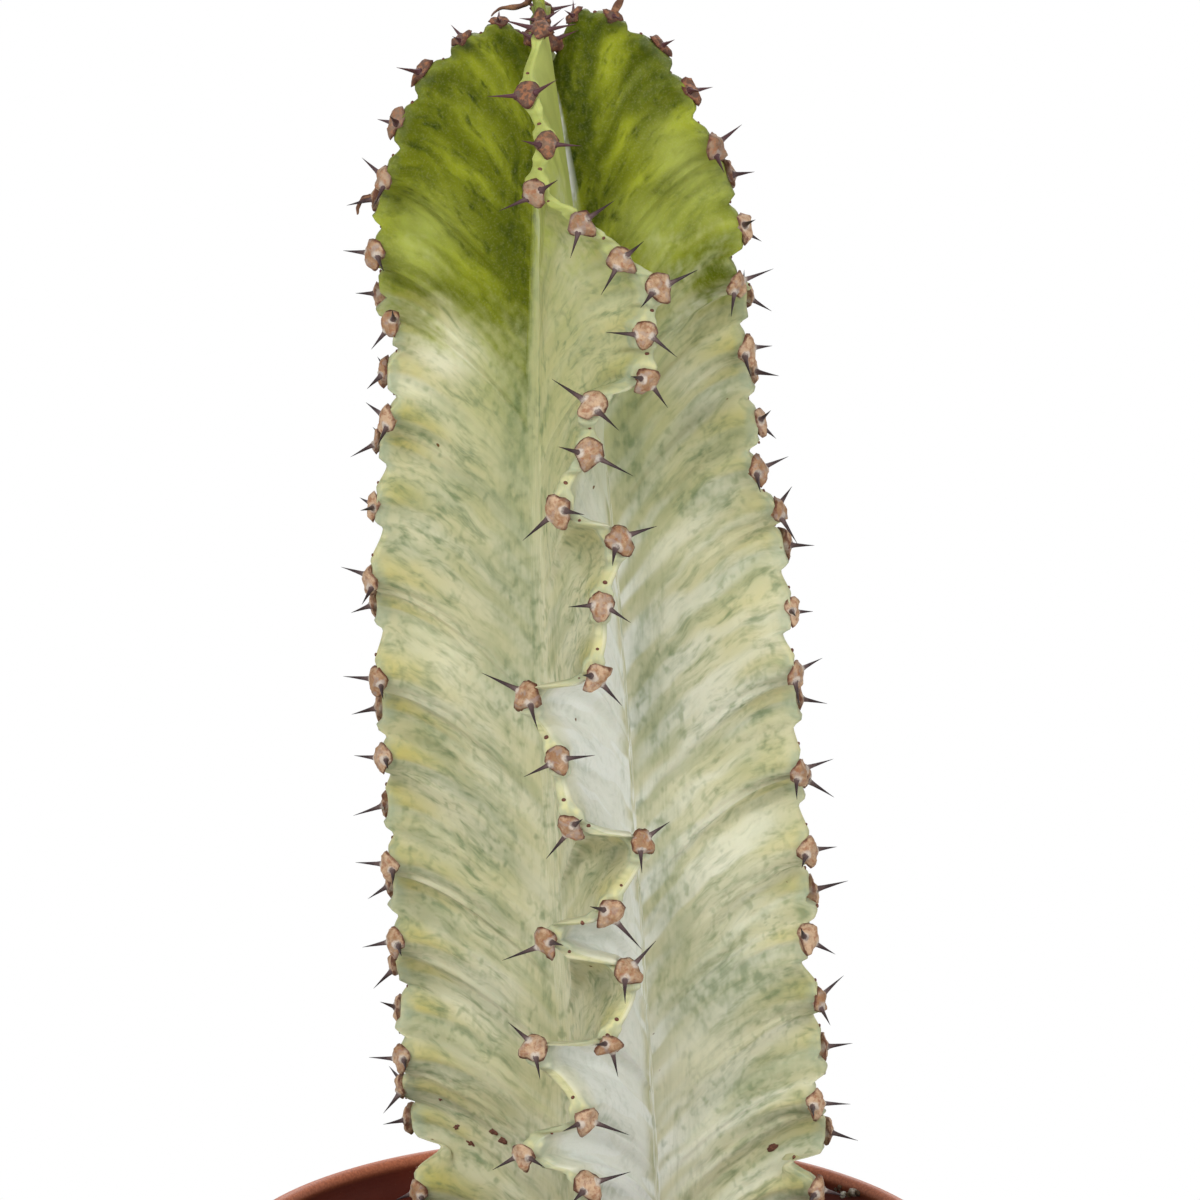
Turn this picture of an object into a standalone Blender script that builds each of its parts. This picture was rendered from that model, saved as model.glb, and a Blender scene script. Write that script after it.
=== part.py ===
"""Potted candelabra spurge: a nursery pot, its potting mix, one four-ribbed stem and three dried leaves.

Units are metres and +Z is up. The origin is the centre of the pot's base. The stem's ribs point to the front
(-Y), the right (+X), the back (+Y) and the left (-X). The stem leans a little to the left.
"""
import math
import random

import bmesh
import bpy
from mathutils import Vector

MM = 0.001
CLEARANCE = 0.3 * MM

# Pot
POT_HEIGHT = 152 * MM
RIM_RADIUS = 85 * MM
BASE_RADIUS = 59 * MM
POT_WALL = 1.6 * MM
LIP_WIDTH = 4 * MM
BAND_HEIGHT = 17 * MM
FOOT_HEIGHT = 3 * MM
FOOT_WIDTH = 3.5 * MM
POT_SEGMENTS = 64
DRAIN_HOLES = 8
DRAIN_HOLE_RADIUS = 4.5 * MM
DRAIN_CIRCLE_RADIUS = 43 * MM

# Potting mix
SOIL_DROP = 17 * MM
SOIL_LUMP = 1.3 * MM
SOIL_SEED = 7

# Stem
AXIS_X_AT_BASE = 17.8 * MM
LEAN = -0.0615
RIB_AZIMUTHS = tuple(math.radians(a) for a in (-90, 0, 90, 180))
HALF_RIB_ANGLE = math.radians(45)
PAD_PROUD = 0.8 * MM
EDGE_CROWN = 0.5 * MM
NOTCH_DEPTH = 1.9 * MM
PAD_HALF_HEIGHT = 2.7 * MM
PAD_HALF_WIDTH = 2.8 * MM
BARE_PADS = 2
SPINE_LENGTH = 8.2 * MM
FLANK_STEPS = (0.42, 0.8)
SOCKET_TOP_STATION = 175

# Rib edges and the valleys between them, in mm: station, edge radius and height, valley radius and height
STEM_FORM = (
    (100, 12, 100, 7, 100),
    (116, 30, 112, 10, 108),
    (132, 38, 129, 12, 118),
    (150, 42, 149, 13, 131),
    (170, 45.5, 170, 13, 149),
    (188, 47, 188, 13, 165),
    (240, 46.8, 240, 13, 215),
    (290, 46.2, 290, 13, 264),
    (318, 45.4, 318, 12.6, 291),
    (345, 41.8, 345, 12, 318),
    (366, 39.4, 366, 11, 338),
    (389, 40.4, 389, 9.5, 360),
    (406, 37, 406, 7.6, 376),
    (418, 33, 417, 6.5, 387),
    (430, 27, 427, 5.4, 398),
    (442, 18, 435, 4.2, 409),
    (451, 10, 439, 3.2, 418),
    (457, 5.5, 437, 2.2, 424),
    (464, 1.6, 431.5, 0.9, 430.5),
)

# How much of a rib's own extra height its tip has at a station, and that height for each rib
TIP_FORM = ((400, 0), (436, 1), (453, 1), (464, 0))
TIP_LIFTS = (1.5 * MM, 3.5 * MM, 5 * MM, 0.5 * MM)

# An edge that swings sideways also draws in: metres for a metre squared of swing, and at most
DRAW_IN = 30
MOST_DRAWN_IN = 4 * MM

# Half the thickness of a rib's edge, in mm: station, half thickness
EDGE_FORM = ((100, 2.1), (430, 2.1), (442, 1.6), (451, 1.2), (457, 0.9), (464, 0.5))

# Spine pads of each rib from the soil up, in mm: station, and shift sideways towards the next rib on the left
FRONT_PADS = (
    (141, -4), (151, -12), (162, -3), (172, -14), (186, -7), (193, -19), (202, -7), (217, -16),
    (221, 0), (236, 5), (243, -11), (251, 2), (265, 10), (271, -4), (285, -7), (298, -12),
    (305, 2), (320, 5), (333, 9), (341, -2), (353, 4), (363, 6), (369, 17), (379, 18),
    (389, 21), (395, 14), (403, 6), (410, -3), (420, -1), (431, -4), (449, -1), (459, 0),
)
RIGHT_PADS = (
    (140, 3), (150, -4), (160, 4), (171, -6), (180, 3), (192, -8), (200, 4), (216, -4),
    (231, -8), (239, 5), (251, -3), (265, 5), (271, -6), (284, 5), (293, -4), (307, -4),
    (320, 4), (330, -3), (341, -9), (350, -4), (360, 4), (367, -3), (377, 3), (384, -9),
    (394, -3), (404, 4), (412, -4), (424, -3), (434, 2), (446, -1), (455, 0), (461, 0),
)
LEFT_PADS = (
    (139, -2), (149, 3), (160, -4), (170, 4), (182, -5), (191, -2), (200, 4), (211, -5),
    (221, -4), (230, 5), (240, -5), (248, 4), (259, -5), (273, 4), (282, -5), (291, 3),
    (306, -5), (314, 2), (331, 3), (345, 1), (352, 7), (362, 5), (373, 9), (378, -4),
    (389, 4), (399, -4), (406, 4), (418, 2), (430, -2), (442, 0), (451, 0), (459, 0),
)
BACK_PADS = (
    (141, 4), (152, -6), (161, 7), (173, -4), (182, 9), (195, 2), (204, -9), (214, 5),
    (228, 8), (235, -6), (249, -9), (256, 4), (267, 9), (275, -3), (289, 6), (296, -8),
    (309, -4), (318, 7), (329, 3), (338, -7), (350, -5), (357, 5), (368, 8), (376, -4),
    (388, 5), (396, -5), (407, 2), (416, -4), (427, 3), (437, 1), (447, 2), (458, 1),
)
PADS = (FRONT_PADS, RIGHT_PADS, BACK_PADS, LEFT_PADS)
BURIED_STATIONS = (100, 116, 132)
TOP_STATION = 464

# Dried leaves: rib, pad on it, length, and how far the blade turns over towards the side it curls to
LEAVES = {
    "dried_leaf_back": (2, 30, 9.0 * MM, 105, 1),
    "dried_leaf_right": (1, 29, 6.0 * MM, 25, -1),
    "dried_leaf_left": (3, 25, 5.0 * MM, 80, -1),
}
LEAF_HALF_WIDTH = 0.8 * MM
LEAF_HALF_THICKNESS = 0.4 * MM
LEAF_STEPS = 7


def clear_scene():
    """Remove every object that the file opened with."""
    for item in list(bpy.data.objects):
        bpy.data.objects.remove(item, do_unlink=True)


def make_material(name, colour, roughness):
    """A plain Principled material."""
    material = bpy.data.materials.new(name)
    material.use_nodes = True
    shader = material.node_tree.nodes["Principled BSDF"]
    shader.inputs["Base Color"].default_value = (*colour, 1)
    shader.inputs["Roughness"].default_value = roughness
    shader.inputs["Metallic"].default_value = 0
    return material


def add_object(name, bm, material):
    """Turn a bmesh into a smooth-shaded object with its material."""
    mesh = bpy.data.meshes.new(name)
    bm.to_mesh(mesh)
    bm.free()
    mesh.shade_smooth()
    mesh.set_sharp_from_angle(angle=math.radians(40))
    item = bpy.data.objects.new(name, mesh)
    item.data.materials.append(material)
    bpy.context.collection.objects.link(item)
    return item


def mark_cutter(item):
    """Keep a cutter out of renders and show it as a wire."""
    item.hide_render = True
    item.display_type = "WIRE"
    return item


def cut(item, cutter):
    """Cut one object by another."""
    modifier = item.modifiers.new("cut", "BOOLEAN")
    modifier.object = cutter
    modifier.solver = "EXACT"


def knot_slope(knots, i):
    """Slope of a smooth curve at one of its knots."""
    before = knots[max(i - 1, 0)]
    after = knots[min(i + 1, len(knots) - 1)]
    return (after[1] - before[1]) / (after[0] - before[0])


def smooth_at(knots, x):
    """Read a smooth curve through (position, value) knots at x, held level beyond its ends."""
    if x <= knots[0][0]:
        return knots[0][1]
    if x >= knots[-1][0]:
        return knots[-1][1]
    i = max(k for k in range(len(knots) - 1) if knots[k][0] <= x)
    (x0, y0), (x1, y1) = knots[i], knots[i + 1]
    span = x1 - x0
    t = (x - x0) / span
    rise = 3 * t**2 - 2 * t**3
    start_push = (t**3 - 2 * t**2 + t) * span * knot_slope(knots, i)
    end_push = (t**3 - t**2) * span * knot_slope(knots, i + 1)
    return y0 * (1 - rise) + y1 * rise + start_push + end_push


def revolve(profile, segments, middle_top, middle_bottom):
    """Turn a profile of (radius, height) points about Z and close it at two points on the axis.

    The profile runs from next to middle_bottom, out, up and back in to next to middle_top.
    """
    bm = bmesh.new()
    rings = []
    for radius, height in profile:
        ring = []
        for i in range(segments):
            angle = 2 * math.pi * i / segments
            ring.append(bm.verts.new((radius * math.cos(angle), radius * math.sin(angle), height)))
        rings.append(ring)
    for lower, upper in zip(rings, rings[1:]):
        for i in range(segments):
            j = (i + 1) % segments
            bm.faces.new((lower[i], lower[j], upper[j], upper[i]))
    bottom = bm.verts.new((0, 0, middle_bottom))
    top = bm.verts.new((0, 0, middle_top))
    for i in range(segments):
        j = (i + 1) % segments
        bm.faces.new((bottom, rings[0][j], rings[0][i]))
        bm.faces.new((top, rings[-1][i], rings[-1][j]))
    return bm


def inner_radius(height):
    """Radius of the pot's inside at a height between its floor and its rim."""
    floor = FOOT_HEIGHT + POT_WALL
    share = (height - floor) / (POT_HEIGHT - floor)
    return BASE_RADIUS - POT_WALL + (RIM_RADIUS - LIP_WIDTH - BASE_RADIUS + POT_WALL) * share


def pot_profile():
    """The pot's section: under its floor, round the foot, up the wall, over the lip and down inside."""
    floor = FOOT_HEIGHT + POT_WALL
    band_base = POT_HEIGHT - BAND_HEIGHT
    lip = [
        (RIM_RADIUS - 0.6 * MM, POT_HEIGHT - 5 * MM),
        (RIM_RADIUS, POT_HEIGHT - 2.2 * MM),
        (RIM_RADIUS - 0.5 * MM, POT_HEIGHT - 0.7 * MM),
        (RIM_RADIUS - 1.7 * MM, POT_HEIGHT),
        (RIM_RADIUS - 3 * MM, POT_HEIGHT - 0.5 * MM),
        (RIM_RADIUS - LIP_WIDTH, POT_HEIGHT - 2.4 * MM),
    ]
    under = [
        (BASE_RADIUS - FOOT_WIDTH - MM, FOOT_HEIGHT),
        (BASE_RADIUS - FOOT_WIDTH, 0),
        (BASE_RADIUS - 0.6 * MM, 0),
        (BASE_RADIUS, 0.8 * MM),
    ]
    wall = [
        (inner_radius(band_base) + POT_WALL, band_base),
        (inner_radius(band_base) + POT_WALL + 1.5 * MM, band_base + 0.8 * MM),
    ]
    inside = [
        (inner_radius(band_base), band_base),
        (inner_radius(floor + 4 * MM), floor + 4 * MM),
        (inner_radius(floor) - 3 * MM, floor),
    ]
    return under + wall + lip + inside


def make_pot(material):
    """The pot, with drain holes through its floor."""
    floor = FOOT_HEIGHT + POT_WALL
    pot = add_object("pot", revolve(pot_profile(), POT_SEGMENTS, floor, FOOT_HEIGHT), material)
    holes = bmesh.new()
    for i in range(DRAIN_HOLES):
        angle = 2 * math.pi * (i + 0.5) / DRAIN_HOLES
        new = bmesh.ops.create_cone(
            holes, segments=12, radius1=DRAIN_HOLE_RADIUS, radius2=DRAIN_HOLE_RADIUS, depth=12 * MM,
            cap_ends=True,
        )["verts"]
        place = Vector((DRAIN_CIRCLE_RADIUS * math.cos(angle), DRAIN_CIRCLE_RADIUS * math.sin(angle), floor))
        bmesh.ops.translate(holes, verts=new, vec=place)
    cut(pot, mark_cutter(add_object("drain_cutter", holes, material)))
    return pot


def edge_at(rib, station):
    """Radius and height of a rib's edge at a station, in metres."""
    radius = smooth_at([(row[0], row[1]) for row in STEM_FORM], station)
    height = smooth_at([(row[0], row[2]) for row in STEM_FORM], station)
    return radius * MM, height * MM + TIP_LIFTS[rib] * smooth_at(TIP_FORM, station)


def valley_at(station):
    """Radius and height of the valley between two ribs at a station, in metres."""
    radius = smooth_at([(row[0], row[3]) for row in STEM_FORM], station)
    height = smooth_at([(row[0], row[4]) for row in STEM_FORM], station)
    return radius * MM, height * MM


def edge_normal(rib, station):
    """Outward direction of a rib's edge at a station, as (outward, upward)."""
    step = 0.5
    r0, z0 = edge_at(rib, station - step)
    r1, z1 = edge_at(rib, station + step)
    along = Vector((r1 - r0, z1 - z0)).normalized()
    return Vector((along.y, -along.x))


def edge_place(rib, station, shift, proud):
    """Distance out and height of a point proud of a rib's edge, drawn in where the edge swings."""
    radius, height = edge_at(rib, station)
    normal = edge_normal(rib, station)
    drawn_in = min(DRAW_IN * shift**2, MOST_DRAWN_IN)
    return radius + proud * normal.x - drawn_in, height + proud * normal.y


def from_axis(rib, out, side, height):
    """Point at a distance out along a rib and to its side, from the stem's leaning axis."""
    azimuth = RIB_AZIMUTHS[rib]
    x = AXIS_X_AT_BASE + LEAN * height
    return Vector((
        x + out * math.cos(azimuth) - side * math.sin(azimuth),
        out * math.sin(azimuth) + side * math.cos(azimuth),
        height,
    ))


def rib_rows(pads):
    """Rows of one rib from the root up: station, shift, lift of the edge, half width, spiny or not."""
    rows = []
    for station in BURIED_STATIONS:
        share = (station - BURIED_STATIONS[0]) / (pads[0][0] - BURIED_STATIONS[0])
        rows.append((station, pads[0][1] * MM * share**2, 0, smooth_at(EDGE_FORM, station) * MM, False))
    last = (BURIED_STATIONS[-1], rows[-1][1] / MM)
    for i, (station, shift) in enumerate(pads):
        following = pads[i + 1] if i + 1 < len(pads) else (TOP_STATION, 0)
        half = smooth_at(EDGE_FORM, station) * MM
        gap = min(station - last[0], following[0] - station) * MM
        reach = min(PAD_HALF_HEIGHT, 0.33 * gap) / MM
        bare = i < BARE_PADS
        slimness = half / (EDGE_FORM[0][1] * MM)
        notch = ((station + last[0]) / 2, (shift + last[1]) / 2 * MM, 0 if bare else -NOTCH_DEPTH * slimness)
        rows.append((*notch, half * (1 if bare else 0.75), False))
        lift = 0 if bare else PAD_PROUD * slimness
        width = half if bare else PAD_HALF_WIDTH * slimness
        rows.append((station - reach, shift * MM, lift, width, not bare))
        rows.append((station + reach, shift * MM, lift, width, False))
        last = (station, shift)
    rows.append((TOP_STATION, 0, 0, EDGE_FORM[-1][1] * MM, False))
    return rows


def flank_point(rib, row, valley, side, t):
    """Point on a rib's flank: side is -1 or 1, and t runs from 0 in the valley to 1 at the edge."""
    station, shift, lift, half, _ = row
    radius, height = edge_place(rib, station, shift, lift)
    inner = valley[0] * math.cos(HALF_RIB_ANGLE)
    base = valley[0] * math.sin(HALF_RIB_ANGLE)
    out = inner + (radius - inner) * t
    width = half + (base - half) * (1 - t) ** 1.7
    z = valley[1] + (height - valley[1]) * (1 - (1 - t) ** 1.6)
    return from_axis(rib, out, side * width + shift * t**1.6, z)


def crown_point(rib, row):
    """Point on the middle of a rib's edge."""
    station, shift, lift, _, _ = row
    out, height = edge_place(rib, station, shift, lift + EDGE_CROWN)
    return from_axis(rib, out, shift, height)


def stem_ring(rows):
    """Points once round the stem, through one row of each rib."""
    points = []
    for rib, row in enumerate(rows):
        before = valley_at((row[0] + rows[rib - 1][0]) / 2)
        after = valley_at((row[0] + rows[(rib + 1) % len(rows)][0]) / 2)
        points.append(flank_point(rib, row, before, -1, 0))
        points += [flank_point(rib, row, before, -1, t) for t in FLANK_STEPS]
        points.append(flank_point(rib, row, before, -1, 1))
        points.append(crown_point(rib, row))
        points.append(flank_point(rib, row, after, 1, 1))
        points += [flank_point(rib, row, after, 1, t) for t in reversed(FLANK_STEPS)]
    return points


def spine_tip(rib, row, side):
    """Point of a spine, out from its pad, to one side and a little down."""
    station, shift, lift, half, _ = row
    size = SPINE_LENGTH * half / PAD_HALF_WIDTH
    out, height = edge_place(rib, station, shift, lift + 0.5 * size)
    droop = PAD_HALF_HEIGHT / 2 - 0.12 * size
    return from_axis(rib, out, shift + side * (half * 0.6 + 0.85 * size), height + droop)


def grow_spine(bm, corners, tip):
    """Fill a four-cornered opening with a face that carries one spine."""
    a, b, c, d = [v.co for v in corners]
    ring = []
    for x, y in ((0.15, 0.34), (0.85, 0.34), (0.85, 0.7), (0.15, 0.7)):
        ring.append(bm.verts.new(a.lerp(b, x).lerp(d.lerp(c, x), y)))
    point = bm.verts.new(tip)
    for i in range(4):
        j = (i + 1) % 4
        bm.faces.new((corners[i], corners[j], ring[j], ring[i]))
        bm.faces.new((ring[i], ring[j], point))


def stem_bmesh(with_spines, top_station=TOP_STATION):
    """The stem's closed surface, up to the growing tip or only to a station."""
    bm = bmesh.new()
    rib_lists = [rib_rows(pads) for pads in PADS]
    levels = [rows for rows in zip(*rib_lists) if rows[0][0] <= top_station]
    rings = [[bm.verts.new(p) for p in stem_ring(rows)] for rows in levels]
    count = len(rings[0])
    per_rib = count // len(RIB_AZIMUTHS)
    crown = per_rib // 2
    for level, (lower, upper) in enumerate(zip(rings, rings[1:])):
        for i in range(count):
            j = (i + 1) % count
            corners = (lower[i], lower[j], upper[j], upper[i])
            rib, column = divmod(i, per_rib)
            row = levels[level][rib]
            if with_spines and row[4] and column in (crown - 1, crown):
                side = -1 if column == crown - 1 else 1
                grow_spine(bm, corners, spine_tip(rib, row, side))
            else:
                bm.faces.new(corners[:3])
                bm.faces.new((corners[0], corners[2], corners[3]))
    for ring, flip in ((rings[0], True), (rings[-1], False)):
        middle = bm.verts.new(sum((v.co for v in ring), Vector()) / count)
        for i in range(count):
            pair = (ring[(i + 1) % count], ring[i]) if flip else (ring[i], ring[(i + 1) % count])
            bm.faces.new((middle, *pair))
    return bm


def make_stem(material):
    """The stem: ribs with toothed edges, a horny pad and two spines at each tooth."""
    return add_object("stem", stem_bmesh(True), material)


def stem_socket(material):
    """The stem's foot, grown by the clearance: what it leaves open in the potting mix."""
    bm = stem_bmesh(False, SOCKET_TOP_STATION)
    bm.normal_update()
    grown = [v.co + v.normal * min(v.calc_shell_factor(), 1.5) * CLEARANCE for v in bm.verts]
    for v, place in zip(bm.verts, grown):
        v.co = place
    return mark_cutter(add_object("stem_socket", bm, material))


def make_soil(material, socket):
    """The potting mix: it fills the pot to below the rim, lumpy on top, with the stem's foot in it."""
    rng = random.Random(SOIL_SEED)
    level = POT_HEIGHT - SOIL_DROP
    floor = FOOT_HEIGHT + POT_WALL + CLEARANCE
    corner = floor + 4 * MM
    edge = inner_radius(level) - 1.2 * CLEARANCE
    profile = [
        (inner_radius(floor) - 3 * MM - CLEARANCE, floor),
        (inner_radius(corner) - 1.2 * CLEARANCE, corner),
        (edge, level),
    ]
    fixed = len(profile) * POT_SEGMENTS
    rings = (0.9, 0.78, 0.66)
    profile += [(edge * share, level + 0.6 * MM) for share in rings]
    bm = revolve(profile, POT_SEGMENTS, level, floor)
    bm.verts.ensure_lookup_table()
    for v in bm.verts[fixed:fixed + len(rings) * POT_SEGMENTS]:
        v.co.z += rng.uniform(-SOIL_LUMP, SOIL_LUMP)
    soil = add_object("soil", bm, material)
    cut(soil, socket)
    return soil


def leaf_frame(rib, pad):
    """Where a dried leaf starts and its outward, sideways and upward directions."""
    azimuth = RIB_AZIMUTHS[rib]
    station, shift = PADS[rib][pad]
    normal = edge_normal(rib, station)
    slimness = smooth_at(EDGE_FORM, station) / EDGE_FORM[0][1]
    out, height = edge_place(rib, station, shift * MM, PAD_PROUD * slimness + EDGE_CROWN + CLEARANCE)
    start = from_axis(rib, out, shift * MM, height)
    radial = Vector((math.cos(azimuth), math.sin(azimuth), 0))
    outward = radial * normal.x + Vector((0, 0, normal.y))
    sideways = Vector((-math.sin(azimuth), math.cos(azimuth), 0))
    return start, outward, sideways


def make_leaf(name, material):
    """One shrivelled leaf: a thin blade on an arc that leaves a pad and curls to one side."""
    rib, pad, length, turn, side = LEAVES[name]
    start, outward, sideways = leaf_frame(rib, pad)
    upward = outward.cross(sideways)
    bm = bmesh.new()
    rings = []
    centre = start
    for i in range(LEAF_STEPS):
        share = i / (LEAF_STEPS - 1)
        angle = math.radians(turn) * share
        along = outward * math.cos(angle) + sideways * side * math.sin(angle)
        across = along.cross(upward)
        if i:
            centre = centre + along * length / (LEAF_STEPS - 1)
        size = 1 - 0.75 * share**2
        wide = upward * LEAF_HALF_WIDTH * size
        thin = across * LEAF_HALF_THICKNESS * size
        rings.append([bm.verts.new(centre + p) for p in (wide, thin, -wide, -thin)])
    for lower, upper in zip(rings, rings[1:]):
        for i in range(4):
            j = (i + 1) % 4
            bm.faces.new((lower[i], lower[j], upper[j], upper[i]))
    bm.faces.new(reversed(rings[0]))
    bm.faces.new(rings[-1])
    bmesh.ops.recalc_face_normals(bm, faces=bm.faces)
    return add_object(name, bm, material)


def main():
    """Build the potted plant."""
    clear_scene()
    pot = make_pot(make_material("pot_plastic", (0.24, 0.075, 0.045), 0.45))
    stem = make_stem(make_material("stem_skin", (0.44, 0.43, 0.22), 0.5))
    mix = make_material("potting_mix", (0.03, 0.02, 0.014), 0.95)
    soil = make_soil(mix, stem_socket(mix))
    dried = make_material("dried_leaf", (0.2, 0.1, 0.05), 0.8)
    leaves = [make_leaf(name, dried) for name in LEAVES]
    plant = bpy.data.objects.new("potted_spurge", None)
    bpy.context.collection.objects.link(plant)
    for item in (pot, soil, stem, *leaves):
        item.parent = plant


main()
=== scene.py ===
"""Potted candelabra spurge: the finished looks around the packed model.

Units are metres, +Z is up and the origin is the centre of the pot's base. Stations along a rib and the
sideways shifts of its pads are in millimetres, as the growth of the stem was measured in them.
"""
import math
import random
from collections import namedtuple

import bmesh
import bpy
from mathutils import Matrix, Quaternion, Vector, noise


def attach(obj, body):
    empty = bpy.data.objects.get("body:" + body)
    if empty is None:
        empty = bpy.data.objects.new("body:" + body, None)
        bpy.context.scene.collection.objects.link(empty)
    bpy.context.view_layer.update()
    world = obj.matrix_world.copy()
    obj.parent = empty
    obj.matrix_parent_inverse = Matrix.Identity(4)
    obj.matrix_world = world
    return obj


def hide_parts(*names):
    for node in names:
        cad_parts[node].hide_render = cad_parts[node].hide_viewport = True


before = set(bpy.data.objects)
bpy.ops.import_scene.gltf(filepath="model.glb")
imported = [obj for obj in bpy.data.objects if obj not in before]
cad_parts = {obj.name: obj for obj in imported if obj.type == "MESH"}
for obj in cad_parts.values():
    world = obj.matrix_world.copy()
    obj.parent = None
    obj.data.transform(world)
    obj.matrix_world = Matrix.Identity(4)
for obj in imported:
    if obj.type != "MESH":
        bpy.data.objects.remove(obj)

bl_info = {
    "name": "Potted candelabra spurge",
    "version": (1, 0, 0),
    "blender": (4, 5, 0),
    "location": "View3D > Sidebar > Spurge",
    "description": "Grows a variegated four-ribbed spurge in its nursery pot, piece by piece",
    "category": "Object",
}

MM = 0.001

# Seeds of what is scattered or varied
PADS_SEED = 11
CRUMBS_SEED = 23

# Stem: where its axis leaves the ground, how it leans, and its four ribs
AXIS_X_AT_BASE = 17.8 * MM
LEAN = -0.0615
RIB_AZIMUTHS = tuple(math.radians(a) for a in (-90, 0, 90, 180))
FRONT, RIGHT, BACK, LEFT = range(4)
HALF_RIB_ANGLE = math.radians(45)
BURIED_STATIONS = (100, 116, 132)
FIRST_FINE_STATION = 136
TOP_STATION = 464
BARE_PADS = 2

# Rib edges and the valleys between them, in mm: station, edge radius and height, valley radius and height
STEM_FORM = (
    (100, 12, 100, 7, 100),
    (116, 30, 112, 10, 108),
    (132, 38, 129, 12, 118),
    (150, 42, 149, 13, 131),
    (170, 45.5, 170, 13, 149),
    (188, 47, 188, 13, 165),
    (240, 46.8, 240, 13, 215),
    (290, 46.2, 290, 13, 264),
    (318, 45.4, 318, 12.6, 291),
    (345, 41.8, 345, 12, 318),
    (366, 39.4, 366, 11, 338),
    (389, 40.4, 389, 9.5, 360),
    (406, 37, 406, 7.6, 376),
    (418, 33, 417, 6.5, 387),
    (430, 27, 427, 5.4, 398),
    (442, 18, 435, 4.2, 409),
    (451, 10, 439, 3.2, 418),
    (457, 5.5, 437, 2.2, 424),
    (464, 1.6, 431.5, 0.9, 430.5),
)

# How much of a rib's own extra height its tip has at a station, and that height for each rib
TIP_FORM = ((400, 0), (436, 1), (453, 1), (464, 0))
TIP_LIFTS = (1.5 * MM, 3.5 * MM, 5 * MM, 0.5 * MM)

# An edge that swings sideways also draws in: metres for a metre squared of swing, and at most
DRAW_IN = 30
MOST_DRAWN_IN = 4 * MM

# Half the thickness of a rib's edge, in mm: station, half thickness
EDGE_FORM = ((100, 2.1), (430, 2.1), (442, 1.6), (451, 1.2), (457, 0.9), (464, 0.5))

# Spine pads of each rib from the soil up, in mm: station, and shift sideways towards the next rib on the left
FRONT_PADS = (
    (141, -4), (151, -12), (162, -3), (172, -14), (186, -7), (193, -19), (202, -7), (217, -16),
    (221, 0), (236, 5), (243, -11), (251, 2), (265, 10), (271, -4), (285, -7), (298, -12),
    (305, 2), (320, 5), (333, 9), (341, -2), (353, 4), (363, 6), (369, 17), (379, 18),
    (389, 21), (395, 14), (403, 6), (410, -3), (420, -1), (431, -4), (449, -1), (459, 0),
)
RIGHT_PADS = (
    (140, 3), (150, -4), (160, 4), (172, -8), (182, 3), (193, -9), (202, 4), (216, -4),
    (231, -8), (239, 5), (251, -3), (265, 5), (271, -6), (284, 5), (293, -4), (307, -4),
    (320, 4), (330, -3), (341, -9), (350, -4), (360, 4), (367, -3), (377, 3), (384, -9),
    (394, -3), (404, 4), (412, -4), (424, -3), (434, 2), (446, -1), (455, 0), (461, 0),
)
LEFT_PADS = (
    (139, -2), (149, 3), (160, -4), (170, 4), (184, -6), (193, -2), (202, 4), (211, -5),
    (221, -4), (230, 5), (240, -5), (248, 4), (259, -5), (273, 4), (282, -5), (291, 3),
    (306, -5), (314, 2), (331, 3), (345, 1), (352, 7), (362, 5), (373, 9), (378, -4),
    (389, 4), (399, -4), (406, 4), (418, 2), (430, -2), (442, 0), (451, 0), (459, 0),
)
BACK_PADS = (
    (141, 4), (152, -6), (161, 7), (173, -4), (182, 9), (195, 2), (204, -9), (214, 5),
    (228, 8), (235, -6), (249, -9), (256, 4), (267, 9), (275, -3), (289, 6), (296, -8),
    (309, -4), (318, 7), (329, 3), (338, -7), (350, -5), (357, 5), (368, 8), (376, -4),
    (388, 5), (396, -5), (407, 2), (416, -4), (427, 3), (437, 1), (447, 2), (458, 1),
)
PADS = (FRONT_PADS, RIGHT_PADS, BACK_PADS, LEFT_PADS)

# Dried leaves: rib, pad on it, length, the side that it turns to (1 or -1 across the edge, 0 down along it)
# and its heading from foot to tip, in degrees from straight out
LEAVES = {
    "dried_leaf_back": (BACK, 30, 12.5 * MM, 1, (172, 140, 92, 92, 150)),
    "dried_leaf_right": (RIGHT, 29, 5.0 * MM, -1, (0, 25)),
    "dried_leaf_left": (LEFT, 25, 6.5 * MM, 0, (0, 105)),
}

# Pot and potting mix
POT_HEIGHT = 152 * MM
RIM_RADIUS = 85 * MM
BASE_RADIUS = 59 * MM
POT_WALL = 1.6 * MM
LIP_WIDTH = 4 * MM
BAND_HEIGHT = 17 * MM
FOOT_HEIGHT = 3 * MM
FOOT_WIDTH = 3.5 * MM
DRAIN_HOLES = 8
DRAIN_HOLE_RADIUS = 4.5 * MM
DRAIN_CIRCLE_RADIUS = 43 * MM
SOIL_DROP = 17 * MM
CLEARANCE = 0.3 * MM


# ---------------------------------------------------------------- sizes and colours that a user would change

def colour(name, description, red, green, blue):
    """A colour, given as it is seen, 0 to 255, and kept as the linear values that a shader takes."""
    linear = []
    for value in (red, green, blue):
        share = value / 255
        linear.append(share / 12.92 if share <= 0.04045 else ((share + 0.055) / 1.055) ** 2.4)
    return bpy.props.FloatVectorProperty(
        name=name, description=description, subtype="COLOR", size=3, min=0, max=1, default=tuple(linear)
    )


def length(name, description, default):
    """A length in metres."""
    return bpy.props.FloatProperty(name=name, description=description, default=default, min=0, unit="LENGTH")


def number(name, description, default, least=0):
    """A whole number."""
    return bpy.props.IntProperty(name=name, description=description, default=default, min=least)


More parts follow.
